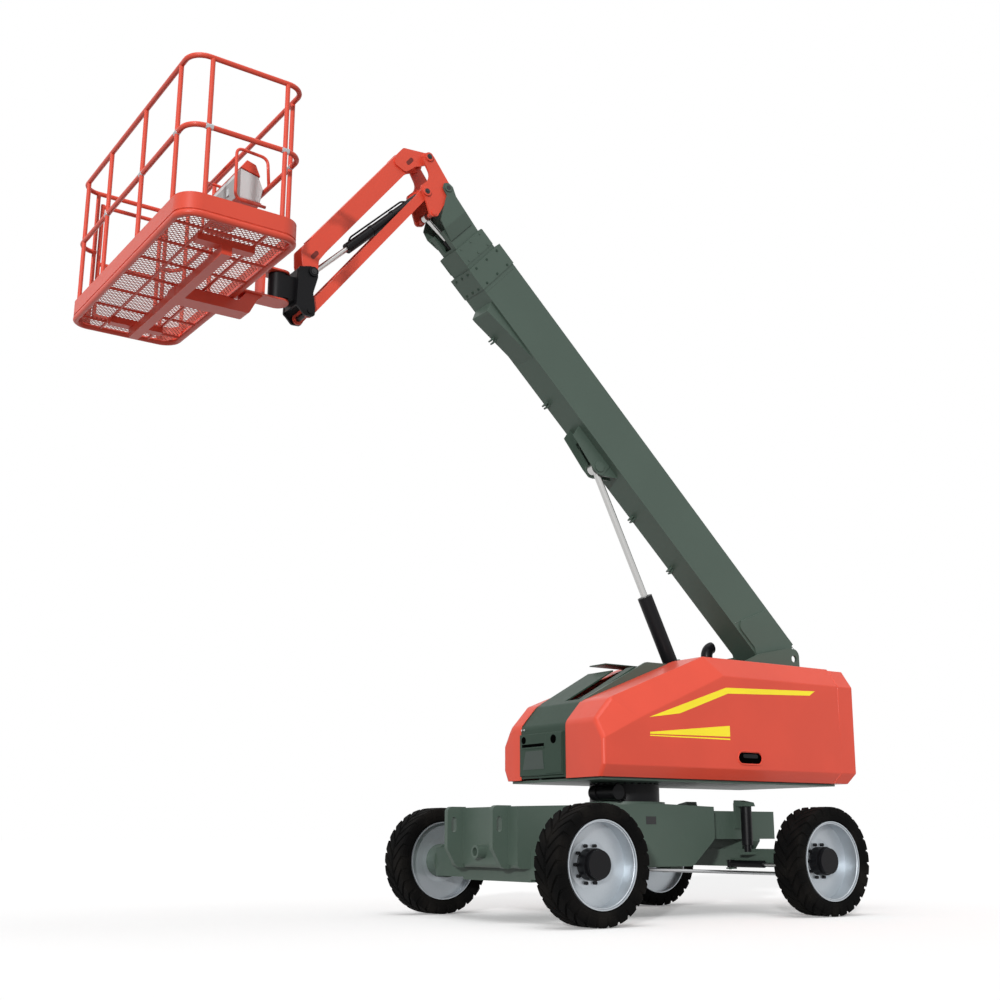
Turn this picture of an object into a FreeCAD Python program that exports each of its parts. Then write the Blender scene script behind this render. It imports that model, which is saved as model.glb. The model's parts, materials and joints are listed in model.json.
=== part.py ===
import FreeCAD, Part
import Sketcher
import math
import os

from FreeCAD import Placement, Rotation, Vector

# Telescopic boom lift, 14 m class, in millimetres.
# X runs forward to the fixed axle and the platform, Y to the left, Z up, with the ground at Z = 0.
# Lengths are laid out from the point on the ground midway between the axles.
# The finished pieces are then moved along X by centre_x, so that the origin lies under the middle
# of the machine's box.

SIZES = {
    # wheels and tyres
    "wheel_base": 2458, "track_outside": 2446, "tyre_radius": 442, "tyre_width": 283,
    "tyre_bead_radius": 322, "lug_height": 20, "rim_radius": 331, "rim_wall": 9, "rim_width": 250,
    "rim_disc_depth": 165, "rim_disc": 14, "hub_radius": 116, "hub_cap_radius": 104,
    "hub_standout": 128, "stud_circle": 138, "stud_radius": 13, "stud_height": 26,
    # chassis
    "frame_half_width": 470, "nose_reach": 241, "tail_start": 629, "frame_top": 905,
    "frame_front_top": 868, "frame_bottom": 400, "frame_plate": 22, "nose_half_width": 300,
    "tail_half_width": 300, "tail_top": 858, "tail_bottom": 620, "tail_reach": 271,
    "tie_plate": 45, "tie_plate_y": 300, "tie_plate_reach": 386, "tie_slot_radius": 24,
    "tow_tube_radius": 52, "tow_tube_bore": 33, "tow_tube_z": 525,
    "beam_height": 190, "beam_depth": 240, "beam_bottom": 300, "hub_box_width": 210,
    "steer_beam_height": 150, "steer_beam_depth": 210, "steer_beam_bottom": 385,
    "king_pin_inset": 353, "king_pin_radius": 34, "knuckle_width": 150, "running_gap": 0.08,
    "steer_arm_length": 250, "steer_arm_offset": 20, "steer_arm_thick": 28, "stub_radius": 30,
    "tie_rod_radius": 15, "tie_rod_eye": 34, "steer_rod_radius": 15, "steer_barrel_radius": 30,
    "steer_eye_radius": 27, "steer_eye_along": 150, "steer_foot_y": 150, "steer_pin_radius": 12,
    "lock_cylinder_radius": 48, "lock_cylinder_y": 390, "lock_cylinder_height": 330,
    # slewing bearing
    "bearing_radius": 300, "bearing_bottom": 925, "bearing_top": 1070, "drive_radius": 62,
    # turntable
    "tray_bottom": 1083, "tray_thick": 20, "tray_half_width": 610, "tray_front": 770,
    "tray_rear": 1990, "upright_y": 195, "upright_top": 2385, "upright_thick": 25, "turret_half_width": 694,
    "turret_front": 788, "turret_rear": 2212, "turret_base": 1105, "turret_sill": 1198,
    "turret_roof": 2155, "brow_z": 1560, "brow_x": 621, "brow_top": 1745, "roof_start": 431, "hood_wall": 12, "hood_gap": 5, "hinge_pin": 6, "hinge_setback": 13, "edge_round": 45,
    "cover_right": 450, "cover_sheet": 10, "slot_half_width": 95,
    "weight_inner": 1780, "weight_well": 226, "weight_well_top": 1900,
    "engine_x": -450, "engine_length": 800, "engine_height": 617, "exhaust_radius": 56, "exhaust_wall": 4, "exhaust_x": -1360, "exhaust_y": -335, "exhaust_z": 2330,
    # boom
    "boom_angle": 43.35, "boom_pivot_x": -1720, "boom_pivot_z": 2140, "boom_pin_radius": 38,
    "base_width": 284, "base_height": 452, "base_wall": 7, "base_tail": 33, "base_length": 4745,
    "collar_length": 210, "collar_thick": 6,
    "mid_width": 244, "mid_height": 388, "mid_wall": 6, "mid_lift": 22, "mid_front": 4947,
    "mid_length": 4300, "fly_width": 206, "fly_height": 324, "fly_wall": 6, "fly_lift": 56,
    "fly_front": 5142, "fly_length": 4200, "nose_pin_x": 5399, "nose_pin_z": 358,
    "nose_plate": 18, "nose_pin_radius": 28,
    "lift_pin_x": 2636, "lift_pin_z": -97, "lift_pin_radius": 32, "lift_foot_z": 1500,
    "lift_barrel_radius": 68, "lift_barrel_length": 1400, "lift_rod_radius": 31,
    "lift_rod_start": 785,
    "lift_eye_radius": 58, "lift_eye_width": 70, "foot_eye_width": 144, "cheek_thick": 20,
    # jib
    "knuckle_plate": 18, "knuckle_half_gap": 109, "jib_pin_radius": 22,
    "arm_pin_x": 187, "arm_pin_z": 249, "link_drop": 336, "link_ahead": 17,
    "jib_length": 1721, "jib_angle": -52.06, "arm_height": 166, "arm_rise": 36, "arm_width": 130,
    "arm_wall": 6, "fork_plate": 15, "link_height": 84, "link_thick": 14, "link_y": 84,
    "jib_barrel_radius": 44, "jib_rod_radius": 22, "jib_eye_radius": 36, "jib_barrel_length": 960,
    "level_pin_x": 130, "level_pin_z": -265, "level_barrel_radius": 34, "level_rod_radius": 18,
    "level_foot_x": 4520, "level_foot_z": 170, "level_barrel_length": 545, "level_eye_radius": 32,
    "level_pin_radius": 15, "level_rod_start": 190,
    # rotator and platform
    "rotator_x": 3450, "rotator_bottom": 4725, "rotator_top": 4955, "rotator_radius": 78,
    "platform_x": 4268, "platform_depth": 900, "platform_width": 2440, "floor_z": 4639,
    "floor_tube": 24, "corner_radius": 130, "rail_tube": 19, "post_tube": 17, "rail_top": 5870,
    "mid_rail": 5320, "toe_height": 120, "toe_sheet": 4, "deck_sheet": 4, "bar_tube": 11,
    "beam_z": 4540, "centre_beam_height": 70, "centre_beam_width": 76, "arm_half_width": 76,
    "gate_width": 560, "gate_post": 17, "gate_ring_gap": 0.3, "console_width": 560,
    # where the machine's box ends up along X; filled in once the pieces are built
    "centre_x": 0,
}


class Size:
    """A number from the sheet, with the formula that keeps a shape tied to it."""

    def __init__(self, value, text):
        self.value = value
        self.text = text

    def __float__(self):
        return float(self.value)

    def __add__(self, other):
        other = as_size(other)
        return Size(self.value + other.value, f"({self.text} + {other.text})")

    def __radd__(self, other):
        return as_size(other) + self

    def __sub__(self, other):
        other = as_size(other)
        return Size(self.value - other.value, f"({self.text} - {other.text})")

    def __rsub__(self, other):
        return as_size(other) - self

    def __mul__(self, other):
        other = as_size(other)
        return Size(self.value * other.value, f"({self.text} * {other.text})")

    def __rmul__(self, other):
        return as_size(other) * self

    def __truediv__(self, other):
        other = as_size(other)
        return Size(self.value / other.value, f"({self.text} / {other.text})")

    def __neg__(self):
        return Size(-self.value, f"(0 - {self.text})")


def as_size(value):
    if isinstance(value, Size):
        return value
    text = repr(float(value)) if value >= 0 else f"({float(value)!r})"
    return Size(float(value), text)


def cosine(angle):
    return Size(math.cos(math.radians(float(angle))), f"cos({angle.text})")


def sine(angle):
    return Size(math.sin(math.radians(float(angle))), f"sin({angle.text})")


document = FreeCAD.newDocument("telescopic_boom_lift")
sheet = document.addObject("Spreadsheet::Sheet", "Sizes")
for row, (alias, number) in enumerate(SIZES.items(), start=1):
    sheet.set(f"A{row}", alias)
    sheet.set(f"B{row}", str(number))
    sheet.setAlias(f"B{row}", alias)
document.recompute()


class Sheet:
    """The sheet's cells as sizes: S.tyre_radius is the cell with that alias."""

    def __getattr__(self, alias):
        return Size(float(sheet.get(alias)), f"Sizes.{alias}")


S = Sheet()
counter = {"made": 0}
nodes = {}
places = {}


def fresh(kind):
    counter["made"] += 1
    return document.addObject(kind, f"form_{counter['made']}")


def bind(piece, name, size):
    """Ties one property of a piece to the sheet, or sets it where it is a plain number."""
    size = as_size(size)
    if "Sizes." in size.text:
        piece.setExpression(name, size.text)
    elif "." in name:
        piece.setExpression(name, None)
    else:
        setattr(piece, name, size.value)


def stand(piece, x=0, y=0, z=0, axis=None, angle=0):
    """Puts a piece at a place, turned about an axis, with both tied to the sheet."""
    base = Vector(float(x), float(y), float(z))
    turn = Rotation(axis or Vector(0, 0, 1), float(angle))
    piece.Placement = Placement(base, turn)
    places[piece.Name] = (x, y, z)
    for letter, size in (("x", x), ("y", y), ("z", z)):
        bind(piece, f"Placement.Base.{letter}", size)
    if axis is not None:
        bind(piece, "Placement.Rotation.Angle", angle)
    return piece


def block(x0, x1, y0, y1, z0, z1):
    """A box between two limits along each axis."""
    piece = fresh("Part::Box")
    bind(piece, "Length", as_size(x1) - x0)
    bind(piece, "Width", as_size(y1) - y0)
    bind(piece, "Height", as_size(z1) - z0)
    return stand(piece, x0, y0, z0)


def bar(x0, x1, half_width, z0, z1):
    """A box that is centred on Y."""
    return block(x0, x1, -as_size(half_width), half_width, z0, z1)


TURNS = {"X": (Vector(0, 1, 0), 90), "Y": (Vector(-1, 0, 0), 90), "Z": (None, 0)}


def round_bar(radius, length, axis, x=0, y=0, z=0, centred=False):
    """A cylinder along a row axis; y, or the axis' own start, is its middle where it is centred."""
    start = {"X": x, "Y": y, "Z": z}
    if centred:
        start[axis] = as_size(start[axis]) - as_size(length) / 2
    piece = fresh("Part::Cylinder")
    bind(piece, "Radius", radius)
    bind(piece, "Height", length)
    turn, angle = TURNS[axis]
    return stand(piece, start["X"], start["Y"], start["Z"], turn, angle)


def cone(radius_low, radius_high, length, axis, x=0, y=0, z=0):
    piece = fresh("Part::Cone")
    bind(piece, "Radius1", radius_low)
    bind(piece, "Radius2", radius_high)
    bind(piece, "Height", length)
    turn, angle = TURNS[axis]
    return stand(piece, x, y, z, turn, angle)


def fuse(*pieces):
    if len(pieces) == 1:
        return pieces[0]
    whole = fresh("Part::MultiFuse")
    whole.Shapes = list(pieces)
    return whole


def cut(base, *tools):
    whole = fresh("Part::Cut")
    whole.Base = base
    whole.Tool = fuse(*tools)
    return whole


def tube(outer, inner, length, axis, x=0, y=0, z=0, centred=False):
    shell = round_bar(outer, length, axis, x, y, z, centred)
    return cut(shell, round_bar(inner, length, axis, x, y, z, centred))


def mirrored(piece, normal=Vector(0, 1, 0)):
    """The same piece on the other side of the machine's middle plane."""
    twin = fresh("Part::Mirroring")
    twin.Source = piece
    twin.Normal = normal
    return twin


def pair(piece):
    return fuse(piece, mirrored(piece))


PLANES = {"XZ": "XZ_Plane", "XY": "XY_Plane", "YZ": "YZ_Plane"}
ACROSS = {"XZ": "y", "XY": "z", "YZ": "x"}


def draw_outline(sketch, corners):
    """Draws a closed outline through (across, up[, round]) corners and ties every one to the sheet."""
    points = [Vector(float(corner[0]), float(corner[1]), 0) for corner in corners]
    rounds = [corner[2] if len(corner) > 2 else 0 for corner in corners]
    count = len(points)
    runs = []
    for i, point in enumerate(points):
        back = (points[i - 1] - point).normalize()
        ahead = (points[(i + 1) % count] - point).normalize()
        half = back.getAngle(ahead) / 2
        reach = float(rounds[i]) / math.tan(half)
        bulge = (back + ahead).normalize() * (float(rounds[i]) * (1 / math.sin(half) - 1))
        runs.append((point + back * reach, point + ahead * reach, point + bulge, reach))
    for i, run in enumerate(runs):
        after = (i + 1) % count
        if run[3] + runs[after][3] > points[i].distanceToPoint(points[after]) - 0.5:
            raise ValueError(f"rounds {i} and {after} meet: {[tuple(p)[:2] for p in points]}")
    lines = [Part.LineSegment(runs[i][1], runs[(i + 1) % count][0]) for i in range(count)]
    sketch.addGeometry(lines, False)
    rules = []
    ties = []
    for i, point in enumerate(points):
        before = (i - 1) % count
        if not float(rounds[i]):
            rules.append(Sketcher.Constraint("Coincident", before, 2, i, 1))
            held = i
        else:
            left_turn = (point - points[before]).cross(points[(i + 1) % count] - point).z > 0
            first, last = (1, 2) if left_turn else (2, 1)
            begin, end = (runs[i][0], runs[i][1]) if left_turn else (runs[i][1], runs[i][0])
            arc = sketch.addGeometry(Part.Arc(begin, runs[i][2], end), False)
            held = sketch.addGeometry(Part.Point(point), True)
            rules.append(Sketcher.Constraint("Tangent", before, 2, arc, first))
            rules.append(Sketcher.Constraint("Tangent", arc, last, i, 1))
            rules.append(Sketcher.Constraint("PointOnObject", held, 1, before))
            rules.append(Sketcher.Constraint("PointOnObject", held, 1, i))
            ties.append((len(rules), rounds[i]))
            rules.append(Sketcher.Constraint("Radius", arc, float(rounds[i])))
        ties.append((len(rules), corners[i][0]))
        rules.append(Sketcher.Constraint("DistanceX", -1, 1, held, 1, point.x))
        ties.append((len(rules), corners[i][1]))
        rules.append(Sketcher.Constraint("DistanceY", -1, 1, held, 1, point.y))
    sketch.addConstraint(rules)
    for index, size in ties:
        size = as_size(size)
        if "Sizes." in size.text:
            sketch.setExpression(f"Constraints[{index}]", size.text)


def new_sketch(body, plane, corners):
    sketch = body.newObject("Sketcher::SketchObject", f"outline_{counter['made']}")
    origin_plane = [f for f in body.Origin.OriginFeatures if f.Role == PLANES[plane]][0]
    sketch.AttachmentSupport = [(origin_plane, "")]
    sketch.MapMode = "FlatFace"
    draw_outline(sketch, corners)
    return sketch


def plate(plane, corners, low, high):
    """A padded outline: the plane it is drawn on, its corners, and its limits across that plane."""
    body = fresh("PartDesign::Body")
    sketch = new_sketch(body, plane, corners)
    pad = body.newObject("PartDesign::Pad", f"pad_{counter['made']}")
    pad.Profile = sketch
    pad.Midplane = True
    low = as_size(low)
    high = as_size(high)
    bind(pad, "Length", high - low)
    middle = (low + high) / 2
    shift = {"x": 0, "y": 0, "z": 0}
    shift[ACROSS[plane]] = middle
    return stand(body, **shift)


def turned(corners):
    """A ring or disc about the Y axis: corners are (distance along Y, radius)."""
    body = fresh("PartDesign::Body")
    sketch = new_sketch(body, "YZ", corners)
    spin = body.newObject("PartDesign::Revolution", f"spin_{counter['made']}")
    spin.Profile = sketch
    spin.ReferenceAxis = (sketch, ["H_Axis"])
    spin.Angle = 360
    return body


def node(name, piece, x=0, y=0, z=0, axis=None, angle=0):
    """Names a finished piece and puts it in the machine; its X is measured from the box's middle."""
    piece.Label = name
    own = places.get(piece.Name, (0, 0, 0))
    x = as_size(x) + own[0] - S.centre_x
    stand(piece, x, as_size(y) + own[1], as_size(z) + own[2], axis, angle)
    nodes[name] = piece
    return piece


UP_BY = Vector(0, -1, 0)


# ---------------------------------------------------------------- wheels

def tyre():
    half = S.tyre_width / 2
    tread = S.tyre_radius
    return turned([
        (-half * 0.72, S.tyre_bead_radius),
        (half * 0.72, S.tyre_bead_radius),
        (half * 0.94, S.tyre_bead_radius + 24),
        (half, S.tyre_radius * 0.88),
        (half * 0.86, tread),
        (-half * 0.86, tread),
        (-half, S.tyre_radius * 0.88),
        (-half * 0.94, S.tyre_bead_radius + 24),
    ])


def rim():
    """A deep dished rim: its disc lies far in, and its lip is level with the tyre's bead."""
    lip = S.rim_width / 2
    barrel = S.tyre_bead_radius - S.running_gap
    well = barrel - S.rim_wall
    disc_out = lip - S.rim_disc_depth
    disc_in = disc_out - S.rim_disc
    return turned([
        (disc_in, S.hub_radius - 30),
        (disc_out, S.hub_radius - 30),
        (disc_out, S.stud_circle + 40),
        (disc_out + 22, well),
        (lip, well),
        (lip, S.tyre_bead_radius - S.running_gap),
        (-lip, S.tyre_bead_radius - S.running_gap),
        (-lip, well),
        (disc_in - 10, well),
        (disc_in, S.stud_circle + 40),
    ])


def hub():
    """The hub with its stud ring and end cap, which stands out through the rim's dish."""
    seat = S.rim_width / 2 - S.rim_disc_depth + S.running_gap
    drum = round_bar(S.hub_radius, S.hub_standout - 40, "Y", 0, seat, 0)
    cap = round_bar(S.hub_cap_radius, 40, "Y", 0, seat + S.hub_standout - 40, 0)
    spigot_radius = S.hub_radius - 30 - S.running_gap
    back = seat - S.running_gap - S.rim_disc
    spigot = round_bar(spigot_radius, S.rim_disc + 10, "Y", 0, back, 0)
    studs = [
        round_bar(S.stud_radius, S.stud_height, "Y",
                  S.stud_circle * cosine(as_size(36 * i)), seat, S.stud_circle * sine(as_size(36 * i)))
        for i in range(10)
    ]
    bore = round_bar(S.stub_radius + S.running_gap, 62, "Y", 0, back - 1, 0)
    return cut(fuse(drum, cap, spigot, *studs), bore)


def wheels():
    plane = S.track_outside / 2 - S.tyre_width / 2
    for corner, x in (("front", S.wheel_base / 2), ("rear", -S.wheel_base / 2)):
        for side in ("left", "right"):
            flip = Vector(0, 0, 1) if side == "right" else None
            y = plane if side == "left" else -plane
            turn = 180 if side == "right" else 0
            for name, make in (("tyre", tyre), ("rim", rim), ("hub", hub)):
                node(f"{name}_{corner}_{side}", make(), x, y, S.tyre_radius, flip, turn)


# ---------------------------------------------------------------- chassis

def frame_front():
    return S.wheel_base / 2 + S.nose_reach


def frame_rear():
    """How far behind the middle the wide part of the frame ends and its narrow tail begins."""
    return S.wheel_base / 2 - S.tail_start


def tail_rear():
    return S.wheel_base / 2 + S.tail_reach


def tie_reach():
    return S.wheel_base / 2 + S.tie_plate_reach


def king_pin_y():
    return S.track_outside / 2 - S.king_pin_inset


def chassis_frame():
    half = S.frame_half_width
    wall = S.frame_plate
    side = [
        (frame_front(), S.frame_bottom, 40),
        (frame_front(), S.frame_front_top),
        (0, S.frame_top),
        (-frame_rear(), S.tail_top + 30),
        (-frame_rear(), S.tail_bottom, 60),
        (-frame_rear() + 260, S.frame_bottom, 90),
    ]
    outer = plate("XZ", side, -half, half)
    inner = plate("XZ", [
        (frame_front() - wall, S.frame_bottom - 60),
        (frame_front() - wall, S.frame_front_top - wall),
        (0, S.frame_top - wall),
        (-frame_rear() + wall, S.tail_top + 30 - wall),
        (-frame_rear() + wall, S.frame_bottom - 60),
    ], -half + wall, half - wall)
    shell = cut(outer, inner)
    tail_outer = bar(-tail_rear(), -frame_rear() + wall, S.tail_half_width, S.tail_bottom, S.tail_top)
    tail_inner = bar(-tail_rear() + wall, -frame_rear(), S.tail_half_width - wall,
                     S.tail_bottom - 10, S.tail_top - wall)
    tail = cut(tail_outer, tail_inner)
    seat = round_bar(S.bearing_radius + 45, S.bearing_bottom - S.frame_top + 60, "Z", 0, 0,
                     S.frame_top - 60)
    tie_corners = [
        (frame_front() - 30, S.frame_bottom),
        (tie_reach() - 90, S.frame_bottom, 60),
        (tie_reach(), S.frame_bottom + 150, 60),
        (tie_reach(), S.frame_front_top + 8, 45),
        (frame_front() - 30, S.frame_front_top + 8),
    ]
    tie = plate("XZ", tie_corners, S.tie_plate_y, S.tie_plate_y + S.tie_plate)
    slot_x = tie_reach() - 62
    slot = fuse(
        round_bar(S.tie_slot_radius, S.tie_plate * 2, "Y", slot_x, S.tie_plate_y - 10, 700),
        round_bar(S.tie_slot_radius, S.tie_plate * 2, "Y", slot_x, S.tie_plate_y - 10, 770),
        block(slot_x - S.tie_slot_radius, slot_x + S.tie_slot_radius, S.tie_plate_y - 10,
              S.tie_plate_y + S.tie_plate + 10, 700, 770),
    )
    ties = pair(cut(tie, slot))
    lock_x = -S.wheel_base / 2 + 165
    web = block(lock_x - 60, lock_x + 60, S.tail_half_width - 5, S.tail_half_width + 25,
                S.tail_top - 150, S.tail_top + 70)
    cap = plate("YZ", [
        (S.tail_half_width, S.tail_top + 40), (S.lock_cylinder_y + 56, S.tail_top + 40),
        (S.lock_cylinder_y + 40, S.tail_top + 74, 10), (S.tail_half_width, S.tail_top + 96, 10),
    ], lock_x - 60, lock_x + 60)
    brackets = pair(fuse(web, cap))
    tow = tube(S.tow_tube_radius, S.tow_tube_bore, 90, "X", frame_front() - 10, 0, S.tow_tube_z)
    return fuse(shell, tail, seat, ties, tow, brackets)


def front_axle():
    x = S.wheel_base / 2
    inner = S.frame_half_width - S.frame_plate - 1
    face = S.track_outside / 2 - S.tyre_width / 2 + S.rim_width / 2 - S.rim_disc_depth - S.rim_disc
    beam = block(x - S.beam_depth / 2, x + S.beam_depth / 2, -inner, inner, S.beam_bottom,
                 S.beam_bottom + S.beam_height)
    drop = bar(x - S.beam_depth / 2, x + S.beam_depth / 2, inner - 160, S.beam_bottom + 20,
               S.frame_bottom + 200)
    arm = block(x - S.beam_depth / 2, x + S.beam_depth / 2, S.frame_half_width + 1, face - 130,
                S.beam_bottom + 20, S.tyre_radius + 110)
    drive = round_bar(S.hub_radius + 22, 130, "Y", x, face - 131, S.tyre_radius)
    stub = round_bar(S.stub_radius, 60, "Y", x, face - 5, S.tyre_radius)
    outer = pair(fuse(arm, drive, stub))
    link = bar(x - S.beam_depth / 2, x + S.beam_depth / 2, S.frame_half_width + 2, S.beam_bottom,
               S.frame_bottom)
    return fuse(beam, drop, link, outer)


def steer_axle():
    x = -S.wheel_base / 2
    reach = king_pin_y() - S.knuckle_width / 2 + 20
    top = S.steer_beam_bottom + S.steer_beam_height
    beam = bar(x - S.steer_beam_depth / 2, x + S.steer_beam_depth / 2, reach - 60,
               S.steer_beam_bottom, top)
    saddle = plate("YZ", [
        (-S.tail_half_width + 60, top - 1), (S.tail_half_width - 60, top - 1),
        (S.tail_half_width - 4, S.tail_bottom - 20), (S.tail_half_width - 4, S.tail_bottom),
        (-S.tail_half_width + 4, S.tail_bottom), (-S.tail_half_width + 4, S.tail_bottom - 20),
    ], x - S.steer_beam_depth / 2 + 20, x + S.steer_beam_depth / 2 - 20)
    ear_high = block(x - 70, x + 70, reach - 80, king_pin_y() + 60, S.tyre_radius + 85,
                     S.tyre_radius + 115)
    ear_low = block(x - 70, x + 70, reach - 80, king_pin_y() + 60, S.tyre_radius - 115,
                    S.tyre_radius - 85)
    web = block(x - 70, x + 70, reach - 90, reach - 60, S.tyre_radius - 115, S.tyre_radius + 115)
    pin = round_bar(S.king_pin_radius, 260, "Z", x, king_pin_y(), S.tyre_radius - 130)
    foot_x = x + S.steer_eye_along
    foot_y = S.steer_foot_y
    middle = steering_axis()
    tongues = [
        block(x + S.steer_beam_depth / 2 - 10, foot_x + 26, foot_y - 26, foot_y + 26, z, z + 12)
        for z in (middle - 46, middle + 34)
    ]
    foot_pin = round_bar(S.steer_pin_radius, 100, "Z", foot_x, foot_y, middle - 50)
    bracket = block(x + S.steer_beam_depth / 2 - 10, x + S.steer_beam_depth / 2 + 6, foot_y - 26,
                    foot_y + 26, middle - 46, middle + 46)
    pad_top = S.tail_top - 18 - S.lock_cylinder_height
    pad = block(x + S.steer_beam_depth / 2 - 10, x + 215, S.lock_cylinder_y - 50,
                S.lock_cylinder_y + 50, pad_top - 22, pad_top)
    ends = pair(fuse(ear_low, ear_high, web, pin, pad))
    return fuse(beam, saddle, ends, *tongues, foot_pin, bracket)


def steering_axis():
    """The height at which the steering cylinder lies, just above the steering arm."""
    return S.tyre_radius - 84 + S.steer_arm_thick + 22


def steering_knuckle(side):
    """The carrier of one steered wheel, bored for its king pin, with the steering arm before it."""
    sign = 1 if side == "left" else -1
    face = S.track_outside / 2 - S.tyre_width / 2 + S.rim_width / 2 - S.rim_disc_depth - S.rim_disc
    offset = face - king_pin_y()
    high = 84
    carrier = block(-62, 62, -58, 58, -high, high)
    boss = round_bar(S.hub_radius - 36, offset - 41, "Y", 0, 40, 0)
    stub = round_bar(S.stub_radius, 60, "Y", 0, offset - 5, 0)
    along = S.steer_arm_length
    across = -S.steer_arm_offset
    arm = block(20, along, across - 25, across + 25, -high, -high + S.steer_arm_thick)
    eye = round_bar(S.tie_rod_eye, S.steer_arm_thick, "Z", along, across, -high)
    body = fuse(carrier, boss, stub, arm, eye)
    bores = [round_bar(S.king_pin_radius + S.running_gap, 4 * high, "Z", 0, 0, -2 * high)]
    if side == "left":
        bores.append(round_bar(S.steer_pin_radius + S.running_gap, 200, "Z", along, across, -150))
    piece = cut(body, *bores)
    if side == "right":
        piece = mirrored(piece)
    return node(f"steering_knuckle_{side}", piece, -S.wheel_base / 2, sign * king_pin_y(),
                S.tyre_radius)


def steering():
    steering_knuckle("left")
    steering_knuckle("right")
    x = -S.wheel_base / 2
    y = king_pin_y() - S.steer_arm_offset
    rod = round_bar(S.tie_rod_radius, 2 * y, "Y", 0, 0, -18, centred=True)
    eye = round_bar(S.tie_rod_eye - 6, 36, "Z", 0, y, -36)
    stud = round_bar(S.steer_pin_radius, 42, "Z", 0, y, -5)
    node("tie_rod", fuse(rod, pair(eye), stud), x + S.steer_arm_length, 0, S.tyre_radius - 84 - 2)
    gap = S.running_gap
    reach = y - S.steer_foot_y
    eye_radius = S.steer_eye_radius
    shell = round_bar(S.steer_barrel_radius, reach * 0.56, "Y", 0, eye_radius * 0.8, 0)
    room = round_bar(S.steer_rod_radius + gap, reach, "Y", 0, eye_radius * 1.3, 0)
    foot = round_bar(eye_radius, 64, "Z", 0, 0, -32)
    pin = round_bar(S.steer_pin_radius + gap, 80, "Z", 0, 0, -40)
    barrel = cut(fuse(cut(shell, room), foot), pin)
    node("steering_cylinder_barrel", barrel, x + S.steer_eye_along, S.steer_foot_y, steering_axis())
    shaft = round_bar(S.steer_rod_radius, reach * 0.8, "Y", 0, -reach * 0.8, 0)
    head = round_bar(eye_radius, 36, "Z", 0, 0, -18)
    node("steering_cylinder_rod", fuse(shaft, head), x + S.steer_eye_along, y, steering_axis())


def lock_cylinders():
    x = -S.wheel_base / 2 + 165
    high = S.lock_cylinder_height
    barrel = round_bar(S.lock_cylinder_radius, high, "Z", x, S.lock_cylinder_y,
                       S.tail_top + 40 - high)
    foot = round_bar(S.lock_cylinder_radius - 18, 60, "Z", x, S.lock_cylinder_y,
                     S.tail_top - 18 - high)
    return pair(fuse(barrel, foot))


def swing_bearing():
    ring = round_bar(S.bearing_radius, S.bearing_top - S.bearing_bottom, "Z", 0, 0,
                     S.bearing_bottom)
    x = S.bearing_radius + S.drive_radius * 0.6
    motor = round_bar(S.drive_radius, S.bearing_radius * 1.1, "Y", x, 0,
                      S.bearing_bottom + S.drive_radius + 12)
    hoop = round_bar(S.drive_radius + 8, 60, "Y", x, 40, S.bearing_bottom + S.drive_radius + 12)
    return fuse(ring, motor, hoop)


def chassis():
    node("chassis_frame", chassis_frame())
    node("front_axle", front_axle())
    node("steer_axle", steer_axle())
    node("axle_lock_cylinders", lock_cylinders())
    node("swing_bearing", swing_bearing())


# ---------------------------------------------------------------- turntable

def roof_line(drop):
    """Corners along the turret's roof from the front, at a depth below its outer face."""
    return [
        (S.turret_front - drop, S.brow_z - drop * 0.3, S.edge_round * 2),
        (S.brow_x - drop * 0.6, S.brow_top - drop * 0.8, S.edge_round * 2),
        (-S.roof_start, S.turret_roof - drop, S.edge_round),
    ]


def hood_outline(drop, floor):
    rear = S.turret_rear - 200 + drop * 4
    return [
        (S.turret_front - drop, floor),
        *roof_line(drop),
        (-rear, S.turret_roof - drop),
        (-rear, S.turret_sill + 22),
        (-rear + 85 + drop * 4, floor),
    ]


def side_slope(outer, drop):
    """The lower side of a hood leans inward: the wedge that is taken off below the sill."""
    return plate("YZ", [
        (outer - 78 - drop, S.turret_base - 60),
        (outer + 60, S.turret_base - 60),
        (outer + 60, S.turret_sill),
        (outer - drop, S.turret_sill),
    ], -3000, 1200)


def hinge_lugs(inner, low):
    """The fixed halves of a hood's two hinges: a pin between two lugs, on the left side."""
    axis_y = inner - S.hinge_setback
    axis_z = S.turret_roof + 10
    lugs = []
    pins = []
    for x in (-550, -950):
        pins.append(round_bar(S.hinge_pin, 130, "X", x - 65, axis_y, axis_z))
        for end in (-68, 48):
            lugs.append(block(x + end, x + end + 20, axis_y - 12, axis_y + 8, low, axis_z + 9))
    return fuse(*lugs), fuse(*pins)


def hinge_sleeves(inner):
    """The moving halves: a sleeve on a strap that is fixed to the hood's roof."""
    axis_y = inner - S.hinge_setback
    axis_z = S.turret_roof + 10
    halves = []
    for x in (-550, -950):
        sleeve = round_bar(10, 90, "X", x - 45, axis_y, axis_z)
        strap = block(x - 45, x + 45, axis_y, inner + 45, S.turret_roof - 2, S.turret_roof + 8)
        bore = round_bar(S.hinge_pin + S.running_gap, 130, "X", x - 65, axis_y, axis_z)
        halves.append(cut(fuse(sleeve, strap), bore))
    return halves


def hood(side):
    wall = S.hood_wall
    outer = S.turret_half_width
    inner = S.upright_y + S.upright_thick + S.hood_gap
    if side == "right":
        inner = S.cover_right + S.hood_gap
    shell = plate("XZ", hood_outline(0, S.turret_base), inner, outer)
    core = plate("XZ", hood_outline(wall, S.turret_base - 40), inner - 40, outer - wall)
    core = cut(core, side_slope(outer, wall))
    piece = fuse(cut(shell, core, side_slope(outer, 0)), *hinge_sleeves(inner))
    if side == "right":
        piece = mirrored(piece)
    return piece


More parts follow.
